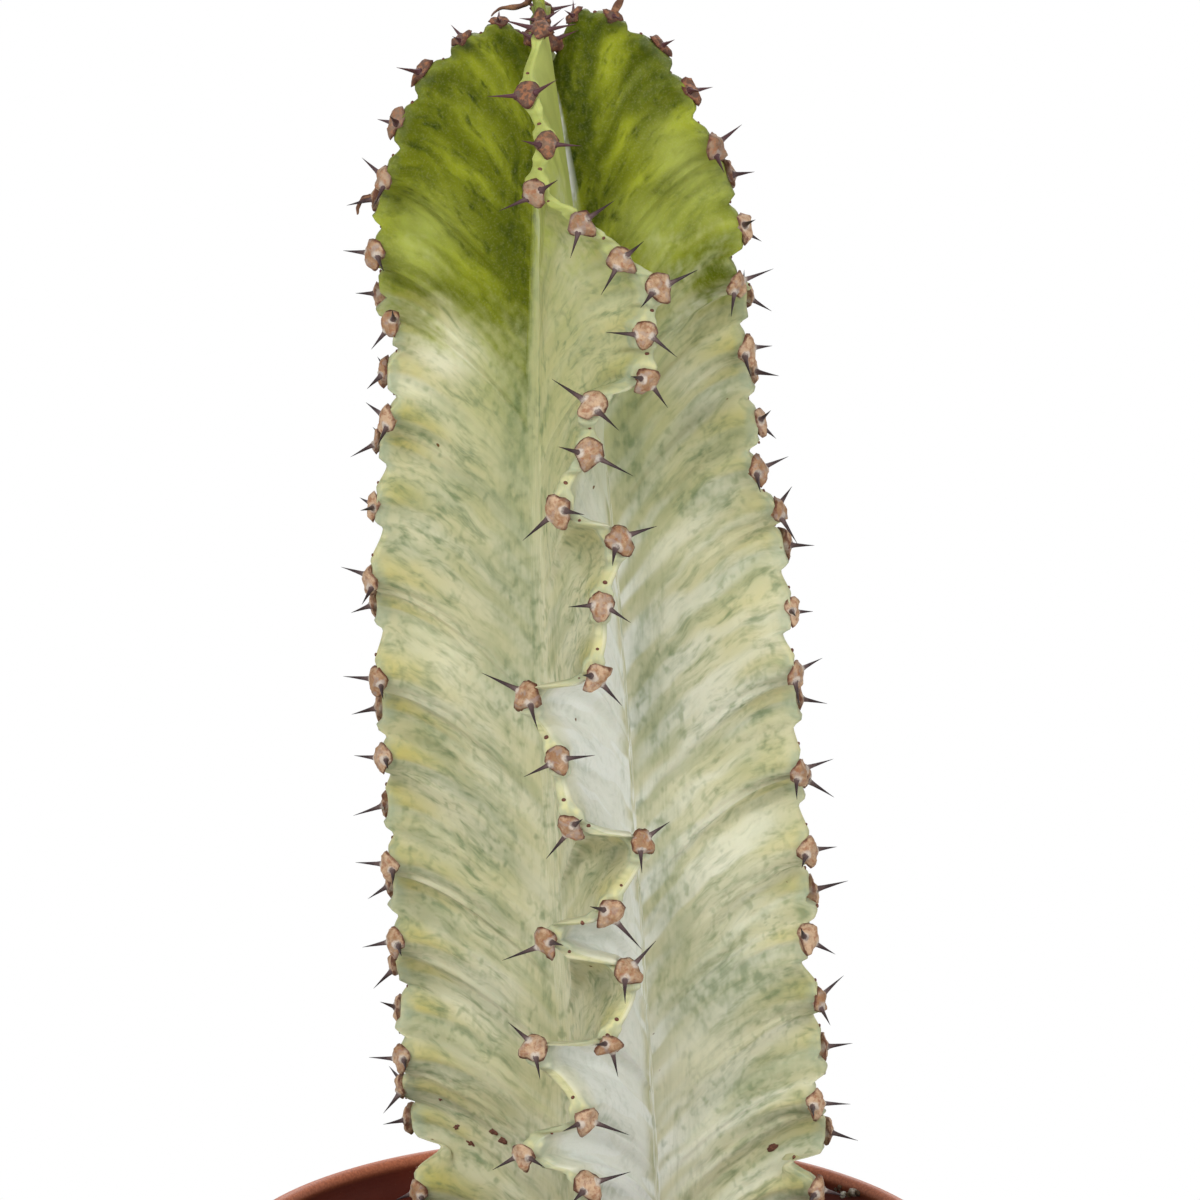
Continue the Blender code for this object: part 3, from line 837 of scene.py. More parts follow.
        # Yellow patches, and painted light on the lit upper side of each fold above a pad
        yellow_and_lit_above_pad = smoothstep(0.02, 0.14, share) * (1 - smoothstep(0.28, 0.62, share))
        drop = smoothstep(0.45, 0.95, inwards)
        return {
            "inwards": inwards,
            # Pale crest colour, with a painted highlight just above each pad
            "crest_tint_and_highlight": on_crest * (0.3 + 0.7 * (1 - smoothstep(0.2, 0.48, share))),
            "pad_shade": (1 - smoothstep(1.0, 1.7, from_pad)) * 0.6,
            # Painted shade in the creases of the folds
            "crease": crease * inner_fade * strength,
            "wax": look.wax + (across.wax - look.wax) / 2 * (1 - smoothstep(0, 0.22, t)),
            # Share of painted light on this flank
            "light": look.light,
            "yellow": yellow_and_lit_above_pad * smoothstep(0.45, 0.92, t) * look.yellow * min(1, strength + 0.25),
            "pale_blotch": blotch_at(PALE_BLOTCHES, self.rib, side, z, t),
            "dark_blotch": blotch_at(DARK_BLOTCHES, self.rib, side, z, t),
            "valley": (1 - smoothstep(0.015, 0.06, t)) * look.seam,
            "green_at": (look.green_at_edge + (look.green_at_valley - look.green_at_edge) * drop) * MM,
        }


def pad_distance(rib, station, shift):
    """Distance along a rib's edge plane from a place on the edge to the nearest pad."""
    pads = PADS[rib]
    lower, upper, _ = pads_around(rib, station)
    return min(math.hypot(station * MM - pads[i][0] * MM, shift - pads[i][1] * MM) for i in (lower, upper))


def fold_wave(share):
    """Section of a flank's folds from one pad, 0, to the next, 1: high above the pad, low in the crease."""
    rise_width = FOLD_TOP + 1 - FOLD_CREASE
    rise = smoothstep(FOLD_TOP - rise_width, FOLD_TOP, share)
    fall = 1 - smoothstep(FOLD_TOP, FOLD_CREASE, share)
    return rise * fall + smoothstep(FOLD_CREASE, FOLD_CREASE + rise_width, share)


def blotch_at(blotches, rib, side, z, t):
    """Strength of the blotches at a point of a flank."""
    total = 0
    for owner, flank, height, middle, half_height, half_width, strength in blotches:
        if owner == rib and flank == side:
            away = ((z - height) / half_height) ** 2 + ((t - middle) / half_width) ** 2
            total += strength * math.exp(-away)
    return min(total, 1)


def swing_at(rib, station):
    """Sideways swing of the skin's edge: it rises upright from each pad before it swings over to the next."""
    lower, upper, share = pads_around(rib, station)
    if lower == upper or lower < BARE_PADS:
        return shift_at(rib, station)
    pads = PADS[rib]
    return shift_at(rib, pads[lower][0] + (pads[upper][0] - pads[lower][0]) * share**UPRIGHT_START)


def skin_ring(station, settings):
    """One ring of the skin, as (point, flow, marks) from the valley before the front rib round the stem."""
    ring = []
    count = settings.flank_columns
    shares = [1 - (1 - i / count) ** 1.3 for i in range(count + 1)]
    for rib in range(len(RIB_AZIMUTHS)):
        row = SkinRow(rib, station, settings)
        for t in shares:
            ring.append((row.flank_point(-1, t), row.flow(-1, t), row.marks(-1, t)))
        for angle in CROWN_ANGLES:
            side = 1 if angle > 0 else -1
            ring.append((row.crown_point(angle), row.flow(side, 1), row.marks(side, 1, angle)))
        for t in reversed(shares[1:]):
            ring.append((row.flank_point(1, t), row.flow(1, t), row.marks(1, t)))
    return ring


def skin_mesh(name, settings, stations):
    """The skin as a closed mesh through rings at these stations, with its marks."""
    rings = [skin_ring(station, settings) for station in stations]
    bm = bmesh.new()
    rows = [[bm.verts.new(point) for point, _, _ in ring] for ring in rings]
    count = len(rows[0])
    for lower, upper in zip(rows, rows[1:]):
        for i in range(count):
            j = (i + 1) % count
            bm.faces.new((lower[i], lower[j], upper[j], upper[i]))
    flows = [flow for ring in rings for _, flow, _ in ring]
    marks = [mark for ring in rings for _, _, mark in ring]
    for ring, turn in ((rows[0], True), (rows[-1], False)):
        middle = bm.verts.new(sum((v.co for v in ring), Vector()) / count)
        flows.append((30 * MM, stations[0 if turn else -1] * MM, 0))
        marks.append(dict(marks[0] if turn else marks[-1]))
        for i in range(count):
            pair = (ring[(i + 1) % count], ring[i]) if turn else (ring[i], ring[(i + 1) % count])
            bm.faces.new((middle, *pair))
    mesh = bpy.data.meshes.new(name)
    bm.to_mesh(mesh)
    bm.free()
    mesh.shade_smooth()
    flow = mesh.attributes.new("flow", "FLOAT_VECTOR", "POINT")
    flow.data.foreach_set("vector", [x for vector in flows for x in vector])
    for key in marks[0]:
        add_attribute(mesh, key, [mark[key] for mark in marks])
    return new_object(name, mesh)


def fine_stations(row_height):
    """Stations of the skin's rings: coarse in the potting mix and fine above it."""
    step = row_height / MM
    count = math.ceil((TOP_STATION - FIRST_FINE_STATION) / step)
    fine = [FIRST_FINE_STATION + (TOP_STATION - FIRST_FINE_STATION) * i / count for i in range(count + 1)]
    return [*range(BURIED_STATIONS[0], FIRST_FINE_STATION, 4), *fine]


class SkinPatterns:
    """The patterns and the stored marks that the skin's colours are made from."""

    def __init__(self, skin):
        place = skin.place()
        self.height = skin.height_of(place)
        self.inwards = skin.attribute("inwards")
        self.waxy = skin.attribute("wax")
        self.pale = skin.attribute("pale_blotch")
        # Share of painted light on the flank
        self.light = skin.attribute("light")
        # Painted shade in the creases of the folds
        self.crease = skin.attribute("crease")

        # The streaks follow the flow along the flanks, pushed about a little
        warp = skin.node("ShaderNodeTexNoise", {"Vector": skin.stretched(place, 36), "Detail": 0})
        bend = skin.vector_math("SUBTRACT", warp.outputs["Color"], (0.5, 0.5, 0.5))
        push = skin.vector_math("MULTIPLY", bend, (4 * MM, 3 * MM, 0))
        flow = skin.vector_math("ADD", skin.attribute("flow", "Vector"), push)
        self.patches = skin.noise(flow, (24, 8, 50), 2, 0.5)
        self.bands = skin.noise(flow, (40, 6.5, 50), 1, 0.4)
        self.streaks = skin.noise(flow, (9, 3, 50), 3, 0.6)
        self.fine_streaks = skin.noise(flow, (3.6, 1.4, 50), 2, 0.55)
        self.frayed = skin.centred(skin.noise(flow, (16, 7, 50), 3, 0.55))

        self.clouds = skin.noise(place, (20, 20, 26), 3)
        self.upright = skin.noise(place, (2.2, 2.2, 8), 3, 0.6)
        self.lines = skin.noise(place, (0.9, 0.9, 26), 2, 0.5)
        self.specks = skin.noise(place, (1.7, 1.7, 2.6), 1.5, 0.45)
        self.clusters = skin.noise(place, (7, 7, 12), 2, 0.5)
        self.grit = skin.noise(place, 0.5, 2, 0.6)
        self.scars = skin.noise(place, 3.4, 1, 0.4)

        self.by_valley = skin.ramp(self.inwards, 0.5, 0.9)
        self.soft = skin.ramp(self.specks, 0.3, 0.7, 0.5, 1)
        self.spots = skin.times(skin.attribute("dark_blotch"), self.soft)


def mottled(skin, seen, ground, clean, settings):
    """Grey-green streaks, flecks and lines over the ground, fewer where wax or a pale blotch covers it, and
    painted shade in the creases of the folds.
    """
    near_edge = skin.ramp(seen.inwards, 0.5, 0.92, 1, 0)
    dashes = skin.ramp(seen.fine_streaks, 0.3, 0.65, 0.3, 1)
    layers = (
        (0.72, skin.ramp(seen.streaks, 0.46, 0.7), dashes, near_edge),
        (0.4, skin.ramp(seen.fine_streaks, 0.47, 0.74), skin.ramp(seen.bands, 0.4, 0.62, 1, 0.35), near_edge),
        (0.6, skin.ramp(seen.upright, 0.45, 0.72), seen.soft, seen.by_valley),
        (0.52, skin.ramp(seen.specks, 0.5, 0.74), skin.ramp(seen.clusters, 0.42, 0.62, 0.05, 1)),
        (0.16, skin.ramp(seen.lines, 0.5, 0.72), skin.ramp(seen.inwards, 0.6, 0.95)),
    )
    shares = [skin.times(*layer[1:], clean, layer[0]) for layer in layers]
    shares.append(skin.times(seen.spots, 0.7))
    # Painted shade along the creases of the folds
    shares.append(skin.times(seen.crease, skin.ramp(seen.specks, 0.3, 0.65, 0.45, 1), 0.42))
    return skin.coats(ground, *((share, settings.mottle) for share in shares))


def old_skin(skin, seen, settings):
    """The old stem: a cream ground with wax, pale and yellow patches and grey-green mottling; the yellow is
    partly painted light above the pads.
    """
    covered = skin.math("ADD", skin.times(seen.waxy, seen.waxy, 0.75), skin.times(seen.pale, 0.6), True)
    clean = skin.math("SUBTRACT", 1, covered)
    banded = skin.math("MAXIMUM", skin.ramp(seen.bands, 0.42, 0.6, 0.1, 1.5), skin.ramp(seen.waxy, 0.7, 1))
    # The painted-light share also carries the ripe olive in to the valley
    inner = skin.math("MAXIMUM", skin.ramp(seen.inwards, 0.25, 0.65, 0.35, 1), seen.light)
    ripe = skin.ramp(seen.height, 300 * MM, 370 * MM)
    ripe = skin.times(ripe, skin.ramp(seen.clouds, 0.34, 0.62, 1, 0.6))
    # Yellow patches, partly painted light above the pads
    yellow = skin.times(skin.attribute("yellow"), skin.ramp(seen.clouds, 0.3, 0.6, 0.45, 1))
    ground = skin.coats(
        settings.cream,
        (skin.ramp(seen.clouds, 0.36, 0.64), settings.beige),
        (skin.times(skin.ramp(seen.patches, 0.44, 0.68), clean, 0.35), settings.mottle),
        (skin.times(seen.waxy, banded, skin.ramp(seen.inwards, 0, 0.3, 0.35, 1), 0.85), settings.wax),
        (skin.times(seen.pale, 0.66), settings.pale),
        (skin.times(ripe, inner, 0.65, skin.ramp(seen.pale, 0, 1, 1, 0.1)), settings.ripe),
        (skin.times(yellow, 0.75), settings.yellow),
    )
    return mottled(skin, seen, ground, clean, settings)


def young_skin(skin, seen, above, settings):
    """The young top: olive with lighter patches and painted light, and dark green streaks that deepen
    upwards, with painted shade in the creases.
    """
    sunny = skin.times(seen.pale, skin.ramp(seen.streaks, 0.3, 0.6, 1, 0.4))
    by_tip = skin.ramp(seen.height, 405 * MM, 436 * MM, 0, 0.75)
    by_tip = skin.times(by_tip, skin.ramp(seen.patches, 0.4, 0.6, 1, 0.4))
    deep = skin.times(skin.ramp(seen.streaks, 0.4, 0.72), skin.ramp(seen.fine_streaks, 0.3, 0.65, 0.5, 1))
    deep = skin.math("MAXIMUM", deep, skin.times(skin.ramp(seen.upright, 0.38, 0.68), seen.by_valley))
    # Painted light thins the dark streaks
    deep = skin.times(skin.math("MAXIMUM", deep, by_tip), seen.soft, skin.ramp(seen.light, 0, 1, 1, 0.15))
    deep = skin.times(deep, skin.ramp(above, -4 * MM, 30 * MM, 0.25, 1), skin.ramp(seen.pale, 0, 1, 1, 0.35))
    dabs = skin.times(skin.attribute("valley"), skin.ramp(seen.upright, 0.42, 0.58, 0.3, 1), 0.8)
    return skin.coats(
        settings.young,
        (skin.math("MAXIMUM", skin.ramp(seen.patches, 0.36, 0.74), sunny), settings.young_bright),
        (skin.times(seen.pale, 0.5), settings.young_pale_and_painted_light),
        # Painted light on the young top
        (skin.times(seen.light, skin.ramp(seen.clouds, 0.3, 0.7, 0.95, 0.7)), settings.young_pale_and_painted_light),
        (skin.math("MAXIMUM", deep, skin.times(seen.spots, 0.9)), settings.young_dark_and_crease_shade),
        # Painted shade along the creases
        (skin.times(seen.crease, 0.3), settings.young_dark_and_crease_shade),
        (dabs, settings.wax),
    )


def skin_material(settings):
    """Variegated skin: mottled cream, an olive top with a frayed border, and yellow edges with a painted
    highlight above each pad.
    """
    glow = {"Subsurface_Weight": 0.05, "Subsurface_Scale": 1.2 * MM}
    skin = Finish("spurge_skin", 0.5, Specular_IOR_Level=0.08, **glow)
    seen = SkinPatterns(skin)
    above = skin.math("SUBTRACT", seen.height, skin.attribute("green_at"))
    above = skin.math("ADD", above, skin.times(seen.frayed, 34 * MM))
    above = skin.math("ADD", above, skin.times(skin.centred(seen.specks), 14 * MM))
    youth = skin.ramp(above, -14 * MM, 13 * MM)
    # Pale crest, with a painted highlight just above each pad
    tint = skin.times(skin.attribute("crest_tint_and_highlight"), skin.ramp(seen.specks, 0.3, 0.6, 1, 0.6))
    shade = skin.times(skin.attribute("pad_shade"), skin.ramp(seen.specks, 0.3, 0.6, 0.6, 1))
    crest = skin.mix(youth, settings.crest, settings.young_bright)
    colour = skin.coats(
        old_skin(skin, seen, settings),
        (youth, young_skin(skin, seen, above, settings)),
        (skin.times(tint, skin.ramp(youth, 0, 1, 1, 0.12)), crest),
        (skin.times(shade, skin.ramp(youth, 0, 1, 1, 0.15)), settings.shade),
        (skin.ramp(seen.scars, 0.80, 0.83), settings.scar),
        (skin.times(skin.ramp(seen.grit, 0.45, 0.75), 0.1), settings.beige),
    )
    normal = skin.bump(seen.grit, 0.05 * MM, 0.5)
    normal = skin.bump(seen.fine_streaks, 0.1 * MM, 0.2, normal)
    return skin.finish(colour, skin.ramp(seen.clouds, 0.3, 0.7, 0.42, 0.56), normal)


class SPURGE_OT_add_stem(bpy.types.Operator):
    """Grow the stem's skin, with its toothed edges and slanting furrows"""

    bl_idname = "spurge.add_stem"
    bl_label = "Add stem"

    def execute(self, context):
        settings = context.scene.spurge_stem
        stem = skin_mesh("stem_skin", settings, fine_stations(settings.row_height))
        dress(stem, skin_material(settings), "stem_skin", "stem")
        return {"FINISHED"}


# ---------------------------------------------------------------- pads, leaf scars and spines

# Pads: their lobes' distance from the middle, the depth of the axis that they tilt about, and their tilt
LOBE_ACROSS = 1.95 * MM
PAD_ROOT = 2.2 * MM
MOST_TILT = math.radians(34)
TILT_FOR_A_MM = math.radians(4.2)

# Spines: how far they lean outward and droop, and the shares of their length where the shape is cut
SPINE_OUTWARD = 0.45
SPINE_DROOP = -0.14
SPINE_CUTS = (0.07, 0.2, 0.42, 0.7)

# Leaf scars, in mm along a rib: how far they are above their pads, and how much of the tip has none
SCAR_ABOVE_PAD = 5.3
BARE_TIP = 14


def bump_at(x, y, width, length):
    """Height from 0 to 1 of a round bump on a pad, at a distance from its middle."""
    return math.exp(-((x / width) ** 2 + (y / length) ** 2))


def pad_shape(settings):
    """One horny pad, its width along X, its length along Y and its face to +Z, with its marks."""
    pad = primitive("uv_sphere", "pad_shape", segments=20, ring_count=12, radius=1)
    in_order(pad.data)
    half_width = settings.pad_width / 2
    half_length = settings.pad_length / 2
    rims, lobes, warts = [], [], []
    for v in pad.data.vertices:
        around = math.atan2(v.co.y, v.co.x)
        polar = math.acos(max(-1, min(1, v.co.z))) / (math.pi / 2)
        face = min(polar, 1)
        spread = face**0.8
        if polar > 1:
            spread = (1 - 0.5 * smoothstep(1, 1.4, polar)) * math.sqrt(max(0, 2 - polar))
        outline = (abs(math.cos(around)) ** 1.8 + abs(math.sin(around)) ** 1.8) ** (-1 / 1.8)
        x = half_width * outline * math.cos(around) * spread
        y = half_length * outline * math.sin(around) * spread
        x *= 1 + 0.24 * math.sin(math.pi / 2 * max(-1, min(1, (y + 0.5 * MM) / (1.6 * MM))))
        lobe = bump_at(abs(x) - LOBE_ACROSS, y, 0.75 * MM, 1.0 * MM)
        wart = bump_at(x, y - 2.5 * MM, 0.75 * MM, 0.8 * MM)
        chin = bump_at(x, y + 2.3 * MM, 1.2 * MM, 1.1 * MM)
        wrap = 0.9 * MM * (x / half_width) ** 2 + 0.35 * MM * (y / half_length) ** 2
        rise = settings.pad_rise * (1 - face**2.6) + 0.5 * MM
        if polar > 1:
            v.co = (x, y, rise - wrap - 2.4 * MM * smoothstep(1, 1.5, polar))
        else:
            v.co = (x, y, rise + 0.4 * MM * lobe + 0.5 * MM * wart + 0.35 * MM * chin - wrap)
        rims.append(polar)
        lobes.append(lobe)
        warts.append(wart)
    for name, values in (("part_rim", rims), ("part_lobe", lobes), ("part_wart", warts)):
        add_attribute(pad.data, name, values)
    return pad


def spine_shape():
    """One spine of length and foot radius 1 along +Z, with a swollen foot, slightly bent."""
    size = {"radius1": 1, "radius2": 0.05, "depth": 1}
    spine = primitive("cone", "spine_shape", vertices=8, location=(0, 0, 0.5), **size)
    bpy.ops.object.transform_apply(location=True)
    cut_level(SPINE_CUTS)
    along = []
    for v in spine.data.vertices:
        share = v.co.z
        radius = math.hypot(v.co.x, v.co.y)
        if radius:
            wanted = max(0.04, 0.85 * (1 - share) + 0.45 * math.exp(-share / 0.05))
            v.co.x *= wanted / radius
            v.co.y *= wanted / radius
        along.append(share)
    add_attribute(spine.data, "part_along", along)
    return spine


class PadPlace:
    """Where one pad sits on a rib's edge, how big it is and which way it faces."""

    def __init__(self, rib, index, rng):
        self.rib = rib
        self.station = PADS[rib][index][0]
        slim = slimness_at(self.station)
        smallest = 0.95 if rib == FRONT else 0.66
        self.size = max(smallest, slim) * rng.uniform(0.92, 1.08)
        point, self.tangent, outward, sideways = crest_frame(rib, self.station, 1.2 * MM * slim)
        self.age = smoothstep(392 * MM, 432 * MM, point.z)
        tilt = max(-MOST_TILT, min(MOST_TILT, relative_swing(rib, index) * TILT_FOR_A_MM))
        tilts_forward = sideways.dot(Quaternion(self.tangent, 0.1) @ outward) > 0
        turn = Quaternion(self.tangent, tilt if tilts_forward else -tilt)
        self.outward = (turn @ outward).normalized()
        self.sideways = self.tangent.cross(self.outward)
        depth = PAD_ROOT * slim
        self.point = point - outward * depth + self.outward * (depth - 0.1 * MM)

    def matrix(self):
        """Placement of a shape that faces +Z and points up along +Y."""
        return placed(self.point, facing(self.sideways, self.tangent, self.outward), (self.size,) * 3)

    def direction(self, across, along, out):
        """A direction given across, along and out of the pad."""
        return (self.sideways * across + self.tangent * along + self.outward * out).normalized()


def all_pads(rng):
    """Places of all the pads above the potting mix."""
    return [PadPlace(rib, i, rng) for rib, pads in enumerate(PADS) for i in range(BARE_PADS, len(pads))]


def pad_copies(places, settings, rng):
    """All the pads as one object, each a little different."""
    placings = []
    for place in places:
        seed = random_vector(rng, 50)

        def change(co, seed=seed):
            coarse = noise.noise_vector(co / (2.2 * MM) + seed) * 0.6 * MM
            return co + coarse + noise.noise_vector(co / (0.9 * MM) + seed) * 0.22 * MM

        placings.append((place.matrix(), change, {"age": place.age, "tone": rng.random()}))
    return copies_of(pad_shape(settings), "spine_pads", placings)


def spine_copies(places, settings, rng):
    """Two spines for each pad as one object, leaning apart across the rib's edge."""
    placings = []
    for place in places:
        shorter = 1 if place.rib == FRONT else 0.85
        for side in (-1, 1):
            length = settings.spine_length * place.size * rng.uniform(0.7, 1.08) * shorter
            along = SPINE_DROOP + rng.uniform(-0.22, 0.22)
            heading = place.direction(side * 0.85, along, SPINE_OUTWARD + rng.uniform(-0.12, 0.2))
            turn = heading.to_track_quat("Z", "Y").to_matrix()
            radius = settings.spine_radius * place.size
            foot = place.point + place.sideways * side * LOBE_ACROSS * place.size
            foot += place.outward * 0.45 * MM
            bend = rng.uniform(-0.9, 0.9)

            def change(co, bend=bend):
                return Vector((co.x + bend * co.z**2 * 0.6, co.y, co.z))

            matrix = placed(foot, turn, (radius, radius, length))
            placings.append((matrix, change, {"age": place.age, "tone": rng.random()}))
    return copies_of(spine_shape(), "spines", placings)


def scar_copies(places, skin_settings, rng):
    """The small brown leaf scars on the edge above each pad as one object."""
    shape = primitive("ico_sphere", "scar_shape", subdivisions=2, radius=0.5)
    placings = []
    for place in places:
        station = place.station + SCAR_ABOVE_PAD * place.size
        if station > TOP_STATION - BARE_TIP:
            continue
        row = SkinRow(place.rib, station, skin_settings)
        point = row.crown_point(math.radians(rng.uniform(-20, 20)))
        _, tangent, outward, sideways = crest_frame(place.rib, station)
        sizes = Vector((1.1 * MM, 0.9 * MM, 0.7 * MM)) * rng.uniform(0.7, 1.15)
        matrix = placed(point, facing(sideways, tangent, outward), sizes)
        placings.append((matrix, None, {"tone": rng.random()}))
    return copies_of(shape, "leaf_scars", placings)


# Small corky scars low on the stem: rib, side, height, place from valley 0 to edge 1, and width
FLANK_SCARS = (
    (LEFT, 1, 192.5, 0.8, 0.9 * MM),
    (LEFT, 1, 186.5, 0.74, 1.3 * MM),
    (LEFT, 1, 191.5, 0.5, 2.1 * MM),
    (LEFT, 1, 191, 0.445, 2.2 * MM),
    (LEFT, 1, 184, 0.66, 2.0 * MM),
    (RIGHT, -1, 183, 0.69, 2.4 * MM),
)


def flank_scars(settings):
    """Corky scars on the flanks as one object, each a ragged disc that lies on the skin."""
    shape = primitive("ico_sphere", "flank_scar_shape", subdivisions=3, radius=0.5)
    placings = []
    for rib, side, station, t, width in FLANK_SCARS:
        row = SkinRow(rib, station, settings)
        point = row.flank_point(side, t)
        along = SkinRow(rib, station + 1, settings).flank_point(side, t) - point
        inwards = row.flank_point(side, t - 0.03) - point
        outward = inwards.cross(along).normalized() * -side
        across = along.cross(outward).normalized()
        seed = Vector((station, t, width / MM))

        def change(co, seed=seed):
            return co * (1 + noise.noise(co * 3 + seed) * 0.8)

        turn = facing(across, outward.cross(across), outward)
        placings.append((placed(point, turn, (width, width * 0.8, 0.7 * MM)), change, {}))
    return copies_of(shape, "flank_scars", placings)


def pad_material(settings):
    """Corky pads: tan with browner clouds, grey-white cork with a painted highlight by the spines, a brown
    wart and a thin dark rim.
    """
    cork = Finish("spurge_pads", 0.7, Specular_IOR_Level=0.3)
    place = cork.place()
    clouds = cork.noise(place, 2.0, 4, 0.6)
    grain = cork.noise(place, 0.6, 3, 0.65)
    tone = cork.attribute("tone")
    wart = cork.attribute("part_wart")
    ragged = cork.math("ADD", cork.attribute("part_rim"), cork.times(cork.centred(clouds), 0.35))
    shifted = cork.math("ADD", clouds, cork.times(cork.centred(tone), 0.35))
    bloom = cork.noise(place, 1.7, 2, 0.5)
    blush = cork.noise(place, 1.1, 3, 0.6)
    young = cork.mix(cork.ramp(blush, 0.45, 0.62), settings.young_cork, settings.blush)
    outline = cork.times(cork.ramp(ragged, 0.82, 0.95), cork.ramp(ragged, 1.05, 1.3, 0.88, 0.3))
    colour = cork.coats(
        settings.cork,
        (cork.ramp(shifted, 0.4, 0.74), settings.cork_dark),
        (cork.ramp(blush, 0.46, 0.66, 0, 0.75), settings.blush),
        (cork.times(cork.ramp(bloom, 0.5, 0.66), tone, 0.8), settings.bloom),
        # Grey-white cork by the spines, with a painted highlight there
        (cork.ramp(cork.attribute("part_lobe"), 0.12, 0.6, 0, 0.8), settings.lobe),
        (cork.ramp(wart, 0.3, 0.9, 0, 0.75), settings.cork_dark),
        (cork.ramp(wart, 0.8, 1, 0, 0.75), settings.rim),
        (cork.ramp(grain, 0.5, 0.75, 0, 0.5), settings.cork_dark),
        (cork.times(cork.attribute("age"), 0.9), young),
        (cork.times(outline, cork.ramp(bloom, 0.4, 0.62, 1, 0.4)), settings.rim),
    )
    normal = cork.bump(grain, 0.3 * MM, 0.7)
    return cork.finish(colour, cork.ramp(clouds, 0.3, 0.7, 0.6, 0.8), normal)


def spine_material(settings):
    """Spines: grey-lilac at the foot, purple-brown and then nearly black at the tip."""
    horn = Finish("spurge_spines", 0.5, Specular_IOR_Level=0.25)
    place = horn.place()
    clouds = horn.noise(place, 1.4, 3, 0.6)
    along = horn.attribute("part_along")
    ragged = horn.math("ADD", along, horn.times(horn.centred(clouds), 0.25))
    older = horn.math("ADD", ragged, horn.times(horn.attribute("age"), 0.25))
    colour = horn.coats(
        settings.spine_foot,
        (horn.ramp(older, 0.1, 0.45), settings.spine_middle),
        # Grey-white at the very foot of a spine: cork and painted highlight
        (horn.ramp(older, -0.02, 0.12, 0.9, 0), settings.lobe),
        (horn.ramp(older, 0.45, 0.9), settings.spine_tip),
        (horn.times(horn.attribute("age"), 0.7), settings.young_spine),
    )
    normal = horn.bump(clouds, 0.1 * MM, 0.5)
    return horn.finish(colour, horn.ramp(clouds, 0.3, 0.7, 0.4, 0.6), normal)


def scar_material(settings):
    """Brown leaf scars."""
    cork = Finish("spurge_leaf_scars", 0.75)
    grain = cork.noise(cork.place(), 0.5, 3)
    colour = cork.mix(cork.ramp(grain, 0.4, 0.8, 0, 0.6), settings.rim, settings.blush)
    return cork.finish(colour, None, cork.bump(grain, 0.15 * MM, 0.6))


class SPURGE_OT_add_pads(bpy.types.Operator):
    """Set a horny pad on every tooth of the edges, two spines on each pad and a leaf scar above it"""

    bl_idname = "spurge.add_pads"
    bl_label = "Add pads and spines"

    def execute(self, context):
        settings = context.scene.spurge_pads
        rng = random.Random(PADS_SEED)
        noise.seed_set(PADS_SEED)
        places = all_pads(rng)
        dress(pad_copies(places, settings, rng), pad_material(settings), "stem_skin")
        dress(spine_copies(places, settings, rng), spine_material(settings), "stem_skin")
        scars = scar_material(settings)
        dress(scar_copies(places, context.scene.spurge_stem, rng), scars, "stem_skin")
        dress(flank_scars(context.scene.spurge_stem), scars, "stem_skin")
        return {"FINISHED"}


# ---------------------------------------------------------------- dried leaves

LEAF_HALF_WIDTH = 0.75 * MM
LEAF_THICKNESS = 0.3 * MM
LEAF_ROWS = 22
LEAF_COLUMNS = 6


def leaf_path(name):
    """Middle line of a dried leaf, as (point, heading), and the direction that its blade is wide in."""
    rib, pad, length, side, headings = LEAVES[name]
    station, shift = PADS[rib][pad]
    out, height = edge_place(rib, station, shift * MM, 1.3 * MM * slimness_at(station))
    outward = out_of_edge(rib, station)
    sideways = across_rib(rib)
    towards = sideways * side if side else sideways.cross(outward)
    path = [(from_axis(rib, out, shift * MM, height), outward)]
    for i in range(LEAF_ROWS):
        along = (i + 0.5) / LEAF_ROWS * (len(headings) - 1)
        knot = int(along)
        angle = math.radians(headings[knot] + (headings[knot + 1] - headings[knot]) * (along - knot))
        heading = outward * math.cos(angle) + towards * math.sin(angle)
        path.append((path[-1][0] + heading * length / LEAF_ROWS, heading))
    return path, outward.cross(towards)


def curled_leaf(name):
    """One shrivelled leaf: a blade on an arc, rolled in at its margins, with a thickness."""
    path, upward = leaf_path(name)
    leaf = primitive("grid", name + "_blade", x_subdivisions=LEAF_COLUMNS, y_subdivisions=LEAF_ROWS, size=2)
    for v in leaf.data.vertices:
        row = round((v.co.y + 1) / 2 * LEAF_ROWS)
        share = row / LEAF_ROWS
        middle, heading = path[row]
        across = heading.cross(upward)
        width = LEAF_HALF_WIDTH * (0.45 + 0.75 * math.sin(math.pi * min(1, share * 0.8 + 0.12)))
        width *= 1 - 0.7 * share**3
        roll = v.co.x * 2.2
        wave = noise.noise(Vector((share * 6, v.co.x, path[0][0].x * 90))) * 0.35 * MM
        curl = width * (1 - math.cos(roll)) * 0.8
        v.co = middle + upward * width * math.sin(roll) + across * (curl + wave)
    modifier = leaf.modifiers.new("thickness", "SOLIDIFY")
    modifier.thickness = LEAF_THICKNESS
    modifier.offset = 0
    modifier = leaf.modifiers.new("smooth", "SUBSURF")
    modifier.levels = 1
    modifier.render_levels = 1
    apply_modifiers(leaf)
    leaf.data.shade_smooth()
    return leaf


